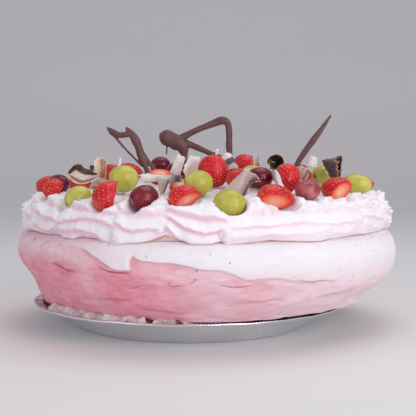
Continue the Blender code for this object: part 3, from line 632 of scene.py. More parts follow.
def grapeOutline(along, angle):
    # Nearly an ellipse, with blunter ends and a trace of two lobes.
    return (1 - along ** 2) ** 0.47 * (1 + 0.015 * np.sin(2 * angle + 1))


def strawberryOutline(along, angle):
    # Broad shoulders at the stem, a drawn-out tip, and a slightly lobed round.
    body = np.minimum(1.0, 1.008 * (1 + along) ** 0.5 * (1 - along) ** 0.72)
    return body * (1 + 0.02 * np.sin(3 * angle + 0.5) + 0.012 * np.sin(5 * angle))


def rememberHollow(node, centre, turn, length, width):
    # Ellipsoids a little larger than the fruit, which the cream later gives way to: one where it
    # lies, and for fruit on the outer slope two more further out, so that its foot shows.
    half = np.array([length * mm / 2, width * mm / 2, width * mm / 2])
    shrink = np.diag(1 / (half + 0.35 * mm)) @ turn.T
    hollows.append((shrink, centre))
    distance = math.hypot(centre[0] - cakeX, centre[1] - cakeY)
    if distance < fruitShape["slopeStart"]:
        return
    shift, away, drop = fruitShape["ledges"].get(node, fruitShape["ledge"])
    bearing = math.atan2(centre[0] - cakeX, cakeY - centre[1]) + math.radians(shift)
    for share in (0.5, 1.0):
        step = np.array([math.sin(bearing), -math.cos(bearing), 0]) * away - np.array([0, 0, drop])
        hollows.append((shrink, centre + step * share * mm))


def grapeFinish(name, skinLow, skinHigh, patch, patchAmount, spot):
    # Thin glossy skin over clear flesh: cloudy patches, a few corky dots, a darker stem end.
    finish = Finish(name, IOR=1.4, Subsurface_Weight=0.35, Subsurface_Scale=0.004,
                    Subsurface_Radius=(0.9, 0.7, 0.25), Coat_Weight=0.12, Coat_Roughness=0.06)
    place = finish.coords()
    clouds = finish.noise(place, 90, 3, 0.55)
    veins = finish.noise(place, 240, 3, 0.6, 1.5)
    colour = finish.blend(finish.between(clouds, 0.3, 0.7), skinLow, skinHigh)
    patches = finish.between(finish.noise(place, 45, 2), 0.5, 0.72)
    colour = finish.blend(patches * patchAmount, colour, patch)
    colour = finish.blend(finish.between(veins, 0.55, 0.8) * 0.18, colour, patch)
    dots = finish.spots(place, 210, 0.06, 0.05) * finish.between(finish.noise(place, 120, 1), 0.55, 0.65)
    colour = finish.blend(dots * 0.6, colour, spot)
    colour = finish.blend(finish.mark("stem"), colour, spot)
    finish.feed("Base Color", colour)
    finish.feed("Roughness", 0.14 + 0.18 * finish.between(clouds, 0.35, 0.75))
    finish.bump(clouds * 0.5 + veins * 0.12, 0.25 * mm, 0.35)
    return finish.material


def makeGrapes():
    # Each grape is placed so that its box has the same middle as its solid's.
    finishes = {
        "green_grape": grapeFinish("greenGrapeSkin", (0.42, 0.39, 0.045), (0.60, 0.57, 0.11),
                                   (0.74, 0.69, 0.22), 0.45, (0.22, 0.10, 0.02)),
        "red_grape": grapeFinish("redGrapeSkin", (0.10, 0.002, 0.012), (0.20, 0.004, 0.022),
                                 (0.42, 0.04, 0.05), 0.35, (0.30, 0.10, 0.05)),
        "red_grape_6": grapeFinish("rosyGrapeSkin", (0.20, 0.012, 0.045), (0.50, 0.09, 0.11),
                                   (0.74, 0.38, 0.26), 0.7, (0.30, 0.10, 0.05)),
    }
    for node, (length, width, heading, tilt) in grapeDesign.items():
        turn = turnMatrix(heading, tilt)
        along, local = bodyGrid(*fruitShape["grapeGrid"], length * mm, width * mm, grapeOutline)
        # A shallow dent at the stem end and very slight unevenness.
        dent = np.exp(-((1 + along) / 0.05) ** 2) * 0.9 * mm
        local[..., 0] += dent
        local *= 1 + 0.01 * ripples(local, 12 * mm, len(node) + int(length * 10))[..., None]
        placed = local @ turn.T
        centre = nodeMiddle(node) - boxMiddle(placed)
        grid = placed + centre
        ends = [centre + turn @ np.array([local[k, :, 0].mean(), 0, 0]) for k in (0, -1)]
        stem = smoothStep(-0.965, -0.99, along)
        kind = node.rsplit("_", 1)[0]
        grape = skin(pieceName(node, "Skin"), grid, ends[0], ends[1], None, {"stem": stem})
        finishPiece(grape, finishes.get(node, finishes[kind]), kind, node)
        rememberHollow(node, centre, turn, length, width)
    print("grapes:", len(grapeDesign))


def strawberryFinish():
    # Deep red skin, paler at the stem, and flesh that runs from red at the rim to pale in the middle.
    finish = Finish("strawberryFlesh", IOR=1.4, Subsurface_Weight=0.22, Subsurface_Scale=0.003,
                    Subsurface_Radius=(1.0, 0.2, 0.12), Coat_Weight=0.1, Coat_Roughness=0.1)
    place = finish.coords()
    clouds = finish.noise(place, 110, 3)
    streaks = finish.noise(place, 420, 4, 0.6)
    cloudy = finish.between(clouds, 0.3, 0.7)
    skinColour = finish.blend(cloudy, (0.50, 0.003, 0.014), (0.78, 0.008, 0.028))
    pale = finish.between(finish.mark("along"), -0.62, -0.95)
    skinColour = finish.blend(pale * 0.4, skinColour, (0.88, 0.20, 0.12))
    # Painted shade: darker red in the seed dimples.
    skinColour = finish.blend(finish.mark("dimple") * 0.35, skinColour, (0.30, 0.002, 0.008))
    inner = finish.mark("cutDepth") + 0.22 * (streaks - 0.5)
    flesh = finish.ramp(inner, [(0.28, (0.93, 0.62, 0.47)), (0.55, (0.93, 0.36, 0.20)),
                                (0.80, (0.90, 0.13, 0.06)), (0.97, (0.66, 0.012, 0.02))])
    finish.feed("Base Color", finish.blend(finish.mark("cut"), skinColour, flesh))
    finish.feed("Roughness", 0.24 + 0.2 * finish.mark("cut") + 0.1 * clouds)
    finish.bump(streaks * (0.25 + 0.5 * finish.mark("cut")) + 0.3 * clouds, 0.2 * mm, 0.5)
    return finish.material


def seedFinish():
    # Seeds from brown to straw.
    finish = Finish("strawberrySeeds", Roughness=0.4)
    tone = finish.noise(finish.coords(), 700, 1)
    ripe = finish.between(tone, 0.35, 0.65)
    finish.feed("Base Color", finish.blend(ripe, (0.42, 0.15, 0.02), (0.78, 0.50, 0.12)))
    finish.bump(tone, 0.1 * mm, 0.3)
    return finish.material


def seedPlaces(count):
    # Seeds on a spiral from the shoulders to the tip, an equal turn apart.
    k = np.arange(count)
    along = -0.86 + 1.8 * ((k + 0.5) / count)
    angle = k * math.radians(137.508)
    return along, angle


def seedBodies(points, normals, axis):
    # One small oval body for each seed, its long side along the fruit, half sunk in its dimple.
    ball, faces = smallBall((45, 0, -45), 6)
    seed = ball * np.array(fruitShape["seedSize"])
    bodies = []
    for point, normal in zip(points, normals):
        forward = axis - normal * (axis @ normal)
        forward /= np.linalg.norm(forward)
        turn = np.stack([forward, np.cross(normal, forward), normal])
        bodies.append((seed @ turn + point - normal * 0.30 * mm, faces))
    return bodies


def makeStrawberries():
    # Turned bodies with a dimple at each seed, some cut flat. The seeds are one piece.
    material = strawberryFinish()
    seeds = []
    rows, columns = fruitShape["strawberryGrid"]
    for number, (node, (length, width, heading, tilt, cut)) in enumerate(strawberryDesign.items()):
        turn = turnMatrix(heading, tilt)
        along, local = bodyGrid(rows, columns, length * mm, width * mm, strawberryOutline)
        local = local * (1 + 0.022 * ripples(local, 16 * mm, 40 + number)[..., None])
        normal = -gridNormals(local)
        outward = np.sign((normal * local).sum(-1).mean())
        normal = normal * outward
        seedAlong, seedAngle = seedPlaces(int(fruitShape["seeds"] * (length * width / 480) ** 0.75))
        rowAt = np.abs(along[:, 0][None, :] - seedAlong[:, None]).argmin(1)
        columnAt = np.round(seedAngle / (2 * np.pi) * columns).astype(int) % columns
        seedPoint = local[rowAt, columnAt]
        seedNormal = normal[rowAt, columnAt]
        gap = np.linalg.norm(local[:, :, None, :] - seedPoint[None, None], axis=-1).min(-1)
        dimple = np.exp(-(gap / fruitShape["dimpleWidth"]) ** 2)
        local = local - normal * (dimple * fruitShape["dimpleDepth"])[..., None]
        placed = local @ turn.T
        cutMark = np.zeros(along.shape)
        depthMark = np.ones(along.shape)
        shownSeeds = np.ones(len(seedPoint), bool)
        if cut:
            # Points beyond the cut's plane are drawn towards the middle, onto the plane.
            facing = np.array(cut[:3]) / np.linalg.norm(cut[:3])
            reach = placed @ facing
            share = np.where(reach > cut[3] * mm, cut[3] * mm / np.maximum(reach, 1e-6), 1.0)
            placed = placed * share[..., None]
            cutMark = (share < 0.999).astype(float)
            depthMark = share
            shownSeeds = (seedPoint @ turn.T) @ facing < cut[3] * mm - 0.5 * mm
        # The box round the cut body has the same middle as its solid's.
        centre = nodeMiddle(node) - boxMiddle(placed)
        grid = placed + centre
        first, last = grid[0].mean(0), grid[-1].mean(0)
        berry = skin(pieceName(node, "Flesh"), grid, first, last, 55,
                     {"cut": cutMark, "cutDepth": depthMark, "along": along, "dimple": dimple})
        finishPiece(berry, material, "strawberry", node)
        seedPoint = seedPoint[shownSeeds] @ turn.T + centre
        seeds += seedBodies(seedPoint, seedNormal[shownSeeds] @ turn.T, turn[:, 0])
        rememberHollow(node, centre, turn, length, width)
    piece = newObject("strawberrySeeds", *joinBodies(seeds))
    finishPiece(piece, seedFinish(), "strawberry")
    print("strawberries:", len(strawberryDesign), "seeds:", len(seeds))


creamDesign = {
    "columns": 780, "moundRows": 26, "ringRows": 96,
    "mound": [(0, 114), (22, 113.8), (45, 113), (62, 111.8), (78, 110), (92, 107.6), (104, 105.5)],
    "ringRadius": 122 * mm, "ringMiddle": 88 * mm, "ringWidth": 24 * mm, "ringRise": 18 * mm,
    "lastAngle": -32.5, "underRings": (141.5, 120, 60),
    "footDrop": 1.1 * mm, "arc": 45 * mm, "bulge": 2.0 * mm, "ridgeDepth": 3.3 * mm,
    # Shells: bearing where each starts, depth of its ridges, and the course of three ridges from
    # start to end, each as four places from 0 at the ring's top to 1 at its foot
    "shells": [
        (-180, 1.0, (0.20, 0.28, 0.33, 0.36), (0.45, 0.62, 0.70, 0.70), (0.72, 0.90, 1.00, 0.97)),
        (-163, 0.9, (0.17, 0.33, 0.42, 0.44), (0.62, 0.60, 0.62, 0.68), (0.80, 0.82, 0.90, 0.95)),
        (-146, 1.0, (0.30, 0.38, 0.42, 0.38), (0.58, 0.70, 0.76, 0.78), (0.80, 0.95, 1.00, 0.96)),
        (-130, 0.8, (0.25, 0.30, 0.38, 0.42), (0.50, 0.62, 0.68, 0.72), (0.76, 0.86, 0.94, 0.96)),
        (-113, 1.0, (0.20, 0.33, 0.44, 0.50), (0.48, 0.64, 0.74, 0.76), (0.74, 0.92, 1.00, 0.98)),
        (-97, 0.9, (0.22, 0.30, 0.36, 0.40), (0.50, 0.58, 0.66, 0.70), (0.76, 0.86, 0.92, 0.96)),
        (-81, 1.0, (0.18, 0.26, 0.34, 0.38), (0.42, 0.52, 0.62, 0.66), (0.70, 0.82, 0.92, 0.94)),
        (-64, 1.0, (0.20, 0.26, 0.32, 0.36), (0.45, 0.55, 0.64, 0.68), (0.70, 0.80, 0.90, 0.96)),
        (-47, 1.0, (0.20, 0.36, 0.46, 0.46), (0.73, 0.64, 0.60, 0.67), (0.82, 0.80, 0.87, 0.95)),
        (-26, 0.9, (0.34, 0.44, 0.44, 0.38), (0.63, 0.76, 0.75, 0.80), (0.88, 0.985, 0.985, 0.95)),
        (-11.5, 1.15, (0.38, 0.47, 0.53, 0.57), (0.55, 0.71, 0.795, 0.745), (0.74, 0.95, 1.0, 0.98)),
        (4.5, 0.45, (0.34, 0.42, 0.42, 0.40), (0.72, 0.71, 0.65, 0.71), (0.88, 0.865, 0.85, 0.80)),
        (36, 0.55, (0.35, 0.40, 0.42, 0.42), (0.72, 0.70, 0.69, 0.70), (0.86, 0.88, 0.90, 0.93)),
        (50, 0.8, (0.30, 0.38, 0.44, 0.46), (0.60, 0.66, 0.70, 0.72), (0.72, 0.84, 0.90, 0.94)),
        (66, 1.0, (0.22, 0.30, 0.36, 0.42), (0.46, 0.58, 0.66, 0.70), (0.72, 0.84, 0.92, 0.96)),
        (83, 0.9, (0.20, 0.30, 0.40, 0.42), (0.46, 0.62, 0.72, 0.72), (0.74, 0.92, 0.98, 0.96)),
        (100, 1.0, (0.18, 0.34, 0.42, 0.44), (0.52, 0.64, 0.68, 0.70), (0.78, 0.88, 0.94, 0.96)),
        (117, 0.9, (0.28, 0.38, 0.46, 0.46), (0.56, 0.70, 0.76, 0.74), (0.78, 0.95, 1.00, 0.96)),
        (134, 1.0, (0.22, 0.30, 0.38, 0.42), (0.46, 0.58, 0.66, 0.70), (0.74, 0.86, 0.94, 0.96)),
        (150, 0.9, (0.26, 0.36, 0.42, 0.42), (0.52, 0.66, 0.72, 0.74), (0.78, 0.92, 0.98, 0.96)),
        (165, 1.0, (0.20, 0.30, 0.36, 0.40), (0.44, 0.58, 0.66, 0.70), (0.72, 0.84, 0.92, 0.96))],
    # Curled ends of the piping: bearing, place across, radius in mm
    "curls": [(5.0, 0.86, 5.4), (-24.2, 0.86, 4.2), (-48.5, 0.60, 4.2), (46, 0.80, 4.6), (-12.4, 0.86, 3.0),
              (66, 0.55, 5), (82, 0.8, 5), (-64, 0.5, 4.5), (-81, 0.75, 5), (100, 0.85, 5), (133, 0.8, 5),
              (165, 0.85, 5), (-162, 0.8, 5), (-130, 0.85, 5), (-113, 0.8, 5), (-97, 0.6, 4.5)],
    # Height of the cream's lower edge in mm by bearing
    "foot": [(-180, 79), (-172, 76.5), (-163, 81), (-155, 77), (-146, 80), (-138, 76.5), (-130, 81),
             (-121, 77.5), (-113, 80), (-105, 77), (-97, 80.5), (-89, 78), (-81, 80), (-72, 78.5),
             (-65, 80.3), (-53, 79.5), (-49, 83.7), (-45, 78.7), (-40, 78.1), (-36, 82), (-31, 79.2),
             (-26, 75.7), (-24.5, 74.6), (-20, 76.9), (-15, 79.3), (-11, 83.4), (-8, 81.2), (-4, 77.5),
             (0, 76.9), (4, 79.3), (5.2, 75.4), (7.5, 77.7), (11.5, 78.4), (17, 79.6), (26, 78.2),
             (32, 77.3), (36, 78.8), (42, 79.1), (45, 80.1), (55, 79.9), (70, 81.7), (83, 78), (91, 76.5),
             (100, 80), (108, 77), (117, 81), (125, 77), (134, 80.5), (142, 77), (150, 80), (158, 77),
             (165, 81), (173, 77.5), (180, 79)],
    # How much brown syrup shows along the lower edge, by bearing
    "syrup": [(-180, 0.3), (-70, 0.5), (-60, 0.9), (-52, 0.1), (-45, 0.1), (-42, 0.7), (-30, 0.2),
              (-22, 0.6), (-15, 1), (6, 0.9), (9, 0.4), (12, 0.9), (34, 1), (38, 0.2), (44, 0.8), (56, 0.2),
              (100, 0.4), (180, 0.3)],
    # How torn the crests of the ridges are, and how rough and broken the ring's shoulder is
    "frill": [(-180, 0.8), (-100, 0.8), (-58, 0.6), (-44, 0.25), (-20, 0.08), (30, 0.10), (46, 0.4),
              (60, 1.0), (120, 1.0), (180, 0.8)],
    "chunky": [(-180, 0.6), (-70, 0.5), (-50, 0.25), (6, 0.2), (20, 0.9), (60, 1.0), (120, 0.8),
               (180, 0.6)],
    "pressReach": 26 * mm, "pressDepth": 14 * mm,
}


def ridgeProfile(phase):
    # Saw tooth with a rounded hollow: from each crest the cream falls back under it, then swells
    # slowly out to the next one. Also returns how deep in the hollow a point is.
    f = phase - np.floor(phase)
    fall = np.clip(1 - f / 0.30, 0, 1)
    rise = np.clip((f - 0.30) / 0.70, 0, 1) ** 1.35
    hollow = bandStep(0.02, 0.12, 0.30, 0.58, f)
    return np.maximum(fall, rise), hollow


def creamRelief(bearing, across):
    # Outward shift of the ring. Each shell swells between its ends, and its ridges follow their
    # courses; at a curled end the ridges wind up into a spiral instead.
    c = creamDesign
    rows = c["shells"]
    starts = np.array([row[0] for row in rows] + [180.0])
    angle = np.degrees(bearing) + 0.9 * np.sin(across * 6 + 1)
    index = np.clip(np.searchsorted(starts, angle, side="right") - 1, 0, len(rows) - 1)
    along = np.clip((angle - starts[index]) / (starts[index + 1] - starts[index]), 0, 1)
    depth = np.array([row[1] for row in rows])[index]
    knots = [np.full_like(across, -0.22)]
    for number in (2, 3, 4):
        courses = np.array([row[number] for row in rows])
        place = np.minimum(along * 3, 2.999)
        k = place.astype(int)
        f = place - k
        f = f * f * (3 - 2 * f)
        wander = 0.008 * np.sin(angle * 0.9 + number * 2) + 0.006 * np.sin(angle * 2.3 + number)
        knots.append(courses[index, k] * (1 - f) + courses[index, k + 1] * f + wander)
    knots.append(np.maximum(1.22, knots[-1] + 0.15))
    phase = sum(np.clip((across - low) / (high - low), 0, 1) for low, high in zip(knots, knots[1:]))
    ridge, hollow = ridgeProfile(phase)
    swell = np.sin(np.pi * np.clip(along, 0.0, 1) ** 0.8) ** 0.45
    shift = c["bulge"] * (swell - 0.65) + depth * c["ridgeDepth"] * (ridge - 0.5) * (0.35 + 0.65 * swell)
    hollow = hollow * depth
    for middle, place, size in c["curls"]:
        right = (np.degrees(bearing) - middle) * math.pi / 180 * (c["ringRadius"] + c["ringWidth"] * 0.9)
        down = (across - place) * c["arc"]
        distance = np.hypot(right, down) / (size * mm)
        winding = distance * 1.9 - np.arctan2(down, right) / (2 * np.pi) + 0.2
        curl, curlHollow = ridgeProfile(winding)
        weight = 1 - smoothStep(0.75, 1.15, distance)
        dome = 1.7 * mm * np.clip(1 - distance ** 2, 0, 1) ** 0.5
        shift = shift * (1 - weight) + weight * (dome + 1.5 * mm * (curl - 0.55))
        hollow = hollow * (1 - weight) + weight * curlHollow * 0.8
    envelope = np.sin(np.pi * np.clip(0.12 + 0.88 * across, 0, 1) ** 1.4) ** 0.5
    return shift * envelope, ridge, hollow * envelope


def creamSkin():
    # Points of the mound and of the ring, and the way out of the cream at each.
    c = creamDesign
    bearing = np.linspace(-np.pi, np.pi, c["columns"], endpoint=False)[None, :]
    # Mound inside the ring.
    t = (np.arange(c["moundRows"])[:, None] + 1) / (c["moundRows"] + 1)
    path = smoothPath(c["mound"], t) * mm
    wide = np.broadcast_to(bearing, (len(t), bearing.shape[1]))
    radius = np.broadcast_to(path[..., 0], wide.shape)
    mound = turnedTo(wide, radius, np.broadcast_to(path[..., 1], wide.shape))
    lumps = ripples(mound[..., :2], 30 * mm, 21) * 1.3 * mm + ripples(mound[..., :2], 12 * mm, 22) * 0.9 * mm
    lumps = lumps + np.abs(ripples(mound[..., :2], 5.5 * mm, 28)) * 0.7 * mm - 0.5 * mm
    swirl = np.abs(np.sin(mound[..., 0] / (4.2 * mm) + 2.2 * ripples(mound[..., :2], 40 * mm, 23)))
    mound[..., 2] += lumps * np.minimum(1, radius / (20 * mm)) + (swirl ** 0.7 - 0.6) * 1.6 * mm
    moundOut = np.broadcast_to(np.array([0, 0, 1.0]), mound.shape)
    # Ring of shells, from its top over the outside to its foot on the meringue.
    across = np.linspace(0, 1, c["ringRows"])[:, None]
    wide, across = np.broadcast_arrays(bearing, across)
    turn = np.radians(90 + (c["lastAngle"] - 90) * across)
    out = np.stack([np.sin(wide) * np.cos(turn), -np.cos(wide) * np.cos(turn), np.sin(turn)], -1)
    ringRadius = c["ringRadius"] + c["ringWidth"] * np.cos(turn)
    level = c["ringMiddle"] + c["ringRise"] * np.sin(turn)
    relief, ridge, hollow = creamRelief(wide, across)
    lower = c["footDrop"] * smoothStep(76 * mm, 78 * mm, tableAt(c["foot"], wide) * mm)
    drop = level[-1:] - tableAt(c["foot"], wide) * mm + lower
    near = across ** 4
    level = level - near * drop
    ringRadius = ringRadius + near * (np.maximum(0, drop) * 1.2 + 1.2 * mm)
    ring = turnedTo(wide, ringRadius, level)
    frill = tableAt(c["frill"], wide) * smoothStep(0.45, 0.95, ridge)
    torn = np.maximum(0, ripples(ring, 7.5 * mm, 24) + 0.2) * 1.8 * mm
    torn = torn + ripples(ring, 3.2 * mm, 25) * 0.18 * mm
    soft = ripples(ring, 16 * mm, 26) * 0.5 * mm + ripples(ring, 4.5 * mm, 27) * 0.16 * mm
    edge = np.sin(np.pi * np.clip(0.05 + 0.95 * across, 0, 1)) ** 0.5
    chunks = np.abs(ripples(ring, 9 * mm, 31)) * 2.6 * mm
    chunks = chunks + np.abs(ripples(ring, 4 * mm, 32)) * 0.9 * mm - 1.4 * mm
    shoulder = bandStep(0.05, 0.18, 0.42, 0.62, across)
    broken = tableAt(c["chunky"], wide) * chunks * shoulder
    ring = ring + out * (relief + (frill * torn + soft) * edge + broken)[..., None]
    ring[..., 2] += (1 - smoothStep(0.0, 0.12, across)) * (lumps[-1:] + 0.6 * mm)
    return bearing, mound, moundOut, ring, out, hollow


def pressIn(grid, out):
    # Where the line out of the cream passes through a fruit, the cream is held below the fruit.
    shift = np.zeros(grid.shape[:2])
    for shrink, centre in hollows:
        near = np.linalg.norm(grid - centre, axis=-1) < creamDesign["pressReach"]
        start = (grid[near] - centre) @ shrink.T
        step = out[near] @ shrink.T
        a = (step * step).sum(-1)
        b = (start * step).sum(-1)
        inside = b * b - a * ((start * start).sum(-1) - 1)
        lower = np.where(inside > 0, (-b - np.sqrt(np.maximum(inside, 0))) / a, 0)
        shift[near] = np.minimum(shift[near], lower)
    return grid + out * np.maximum(shift, -creamDesign["pressDepth"])[..., None]


def creamFinish():
    # Whipped cream: soft white with light passing through, painted pink bounce light and shade where it
    # faces down and in the ridges' hollows, a brown syrup line where it meets the meringue.
    finish = Finish("pipedCream", Subsurface_Weight=0.3, Subsurface_Scale=0.006,
                    Subsurface_Radius=(1.0, 0.75, 0.7), Specular_IOR_Level=0.4)
    place = finish.coords()
    broad = finish.noise(place, 40, 3)
    fine = finish.noise(place, 620, 4, 0.6)
    colour = finish.blend(finish.between(broad, 0.3, 0.7), (0.89, 0.84, 0.90), (0.95, 0.92, 0.96))
    # Painted pink bounce light and shade from the mark.
    colour = finish.blend(finish.mark("pink"), colour, (0.87, 0.54, 0.62))
    buttery = finish.between(finish.noise(place, 75, 2), 0.60, 0.74)
    colour = finish.blend(buttery * 0.22, colour, (0.93, 0.78, 0.52))
    syrup = finish.mark("syrup") * finish.between(finish.noise(place, 130, 3, 0.6), 0.36, 0.50)
    colour = finish.blend(syrup, colour, (0.62, 0.25, 0.07))
    finish.feed("Base Color", colour)
    finish.feed("Roughness", 0.42 + 0.2 * broad)
    finish.bump(fine * 0.35 + broad * 0.2, 0.3 * mm, 0.5)
    return finish.material


def makeCream():
    # Mound, ring and a flat underside, pressed in where the fruit lies.
    c = creamDesign
    bearing, mound, moundOut, ring, out, hollow = creamSkin()
    base = creamLow.z
    grid = np.concatenate([mound, ring])
    outward = np.concatenate([moundOut, out])
    grid = pressIn(grid, outward)
    grid[:-3, :, 2] = np.maximum(grid[:-3, :, 2], base - 1.0 * mm)
    under = [ringAt(bearing, r * mm, base - 0.1 * mm) for r in c["underRings"]]
    whole = np.concatenate([grid, *under])
    normal = gridNormals(whole)
    # Painted pink bounce light and shade: in the ridges' hollows and where the cream faces down, less on the
    # lit right side, only below 108 mm.
    facingDown = smoothStep(-0.25, 0.85, -normal[..., 2])
    angle = np.degrees(bearing)
    sunny = bandStep(5, 70, 120, 160, angle)
    low = smoothStep(108 * mm, 98 * mm, whole[..., 2])
    groove = np.zeros(whole.shape[:2])
    groove[len(mound):len(mound) + len(ring)] = hollow
    pink = np.clip(0.5 * groove + 0.45 * facingDown, 0, 1) * (1 - 0.55 * sunny) * low * shared["paintedBounceStrength"]
    rows = np.arange(len(whole))[:, None]
    ringEnd = len(grid)
    shown = tableAt(c["syrup"], bearing) * np.ones_like(whole[..., 0])
    syrup = smoothStep(ringEnd - 3, ringEnd - 1, rows) * (rows < ringEnd) * shown
    top = (cakeX, cakeY, grid[0, :, 2].mean())
    piece = skin("creamShells", whole, top, (cakeX, cakeY, base - 0.1 * mm), None,
                 {"pink": pink, "syrup": syrup})
    print("cream:", len(piece.data.polygons), "faces")
    return finishPiece(piece, creamFinish(), "cream", "whipped_cream")


# Rolled sheets: heading and tilt of the axis (degrees), length, radius at each end (mm), turn and
# its start (degrees), and the kind of chocolate
curlDesign = {
    "chocolate_roll_1": (0, -2, 31, 1.1, 1.1, 400, 0, "roll"),
    "dark_roll_1": (-85, 8, 15, 1.2, 4.9, 380, 150, "dark"),
    "dark_roll_2": (180, 78, 16, 3.0, 7.2, 300, 75, "dark"),
    "white_curl_3": (60, 70, 10, 4.0, 2.5, 160, 60, "white"),
    "dark_roll_3": (50, 10, 24, 3.4, 3.4, 420, 0, "dark"),
    "marbled_curl_7": (-30, 35, 18, 5.5, 8.0, 240, 30, "sheet"),
    "white_curl_4": (20, 30, 16, 4.5, 6.0, 230, 90, "white"),
}
# Curved shards: the kind of chocolate, and rows of points (x, y, height in mm) from the foot to
# the top edge, each from left to right
shardDesign = {
    "marbled_curl_1": ("cup", [
        [(-104, -60, 121.2), (-100, -65, 116.2), (-94, -68, 113.4), (-86, -67, 115), (-79.6, -62, 119.4)],
        [(-103.5, -54, 120), (-99, -53, 118), (-93, -52.5, 115.5), (-87, -53.5, 116.5), (-81, -58.5, 119.5)],
        [(-104.3, -58, 122.3), (-97.6, -55, 129.2), (-92, -51, 126.6), (-87.5, -52, 123.8),
         (-81, -59, 121.3)]]),
    "marbled_curl_2": ("loop", [
        [(-82.5, -51, 116.5), (-79.5, -47.5, 116), (-76.5, -51, 116.5)],
        [(-84, -51, 124), (-80, -46.5, 124), (-75.5, -51.5, 124)],
        [(-85, -51.5, 129.5), (-80.3, -46.5, 130.5), (-75.4, -51.5, 130)],
        [(-83, -50.5, 133.2), (-80.3, -49, 133.8), (-77.6, -50.5, 133.4)]]),
    "marbled_curl_3": ("tan", [
        [(-86, -70, 110), (-80, -73, 109.5), (-75, -72, 110), (-69.6, -69.5, 113)],
        [(-86, -68.5, 111.8), (-81.5, -69.5, 114.5), (-76, -69, 115.5), (-70, -67.5, 115)],
        [(-85.5, -67, 112.6), (-82, -65.5, 116.4), (-77, -64.5, 118.2), (-70.8, -65.5, 116.4)]]),
    "white_curl_1": ("white", [
        [(-29, -39, 119), (-24.5, -40.5, 118), (-20, -41, 119)],
        [(-25.5, -38.5, 128), (-21.5, -40, 127.5), (-17.5, -39.5, 127.5)],
        [(-21.5, -37.5, 137), (-18.5, -38, 135.5), (-15.6, -38, 133.6)]]),
    "white_curl_2": ("white", [
        [(-15, -54, 117), (-10, -51.5, 117), (-5.5, -53, 117)],
        [(-17, -56.5, 124.5), (-10.5, -52.5, 124), (-4.5, -53.5, 124)],
        [(-14.5, -52, 130.5), (-9, -54, 131), (-4, -50.5, 130)],
        [(-11.5, -50.5, 135.8), (-8, -51.5, 134.6), (-4.8, -50, 134.8)]]),
    "marbled_curl_4": ("sheet", [
        [(7, -102, 104.5), (15, -106, 104), (23, -104.5, 104.5), (28, -98, 106.5)],
        [(17, -100.5, 115.5), (22.5, -104.5, 114.5), (27.5, -102.5, 115), (32, -95.5, 115)],
        [(28, -98.5, 125.8), (29.7, -98.7, 126.5), (32, -96.5, 124.5), (40, -93, 116.5)]]),
    "marbled_curl_5": ("tube", [
        [(16.5, -41, 122.5), (20.5, -43, 125), (25.5, -38, 125)],
        [(13.5, -42, 128.5), (18.5, -45, 131.5), (22.5, -40, 132)],
        [(11, -42, 133.8), (15.2, -44, 137.6), (19.3, -40, 137.2)]]),
    "marbled_curl_6": ("sliver", [
        [(49.5, -99, 108), (53, -101, 108), (57, -99, 108)],
        [(49, -98.5, 116), (51.2, -100, 116), (54, -98.5, 116)],
        [(47.8, -97.5, 124.9), (49, -97.6, 125.3), (50.2, -97.5, 124.5)]]),
}
# Smaller broken pieces that lie between the others: the middle (x, y, height in mm), then as
# for the rolled sheets
bitDesign = [
    (-66.5, -46, 129.5, 80, 74, 9, 1.6, 1.0, 60, 60, "white"),
    (7.5, -46, 136.5, 50, 66, 8, 1.0, 1.4, 80, 60, "white"),
    (36.5, -62, 131.5, 85, 74, 9, 3.0, 3.6, 70, 80, "sheet"),
    (-31, -91, 113.2, 80, 64, 11, 2.2, 7.5, 75, 60, "sheet"),
    (70.5, -73, 122.0, 40, 60, 10, 3.6, 5.2, 120, 60, "sheet"),
    (38, -111, 105.5, 15, 20, 6, 2.0, 2.6, 120, 30, "tan"),
    (-87.5, -48.5, 124.6, 65, 66, 7, 1.8, 2.4, 90, 60, "dark"),
    (51.2, -40.5, 127.2, 0, 0, 5.4, 3.0, 3.0, 95, 132, "dark"),
    (-20, 60, 118, 30, 20, 14, 5, 7, 160, 30, "sheet"),
    (30, 82, 115, -60, 30, 12, 4, 6, 150, 60, "white"),
    (-70, 58, 117, 120, 15, 16, 4, 6, 200, 60, "dark"),
    (88, 30, 116, 70, 30, 13, 4, 6, 170, 60, "tan"),
    (52, 20, 119, -20, 12, 18, 3, 3.6, 400, 0, "roll"),
    (-48, 12, 119, 35, 18, 14, 4, 6, 180, 60, "sheet"),
    (8, 22, 118, -50, 25, 12, 4, 5, 170, 60, "white"),
]
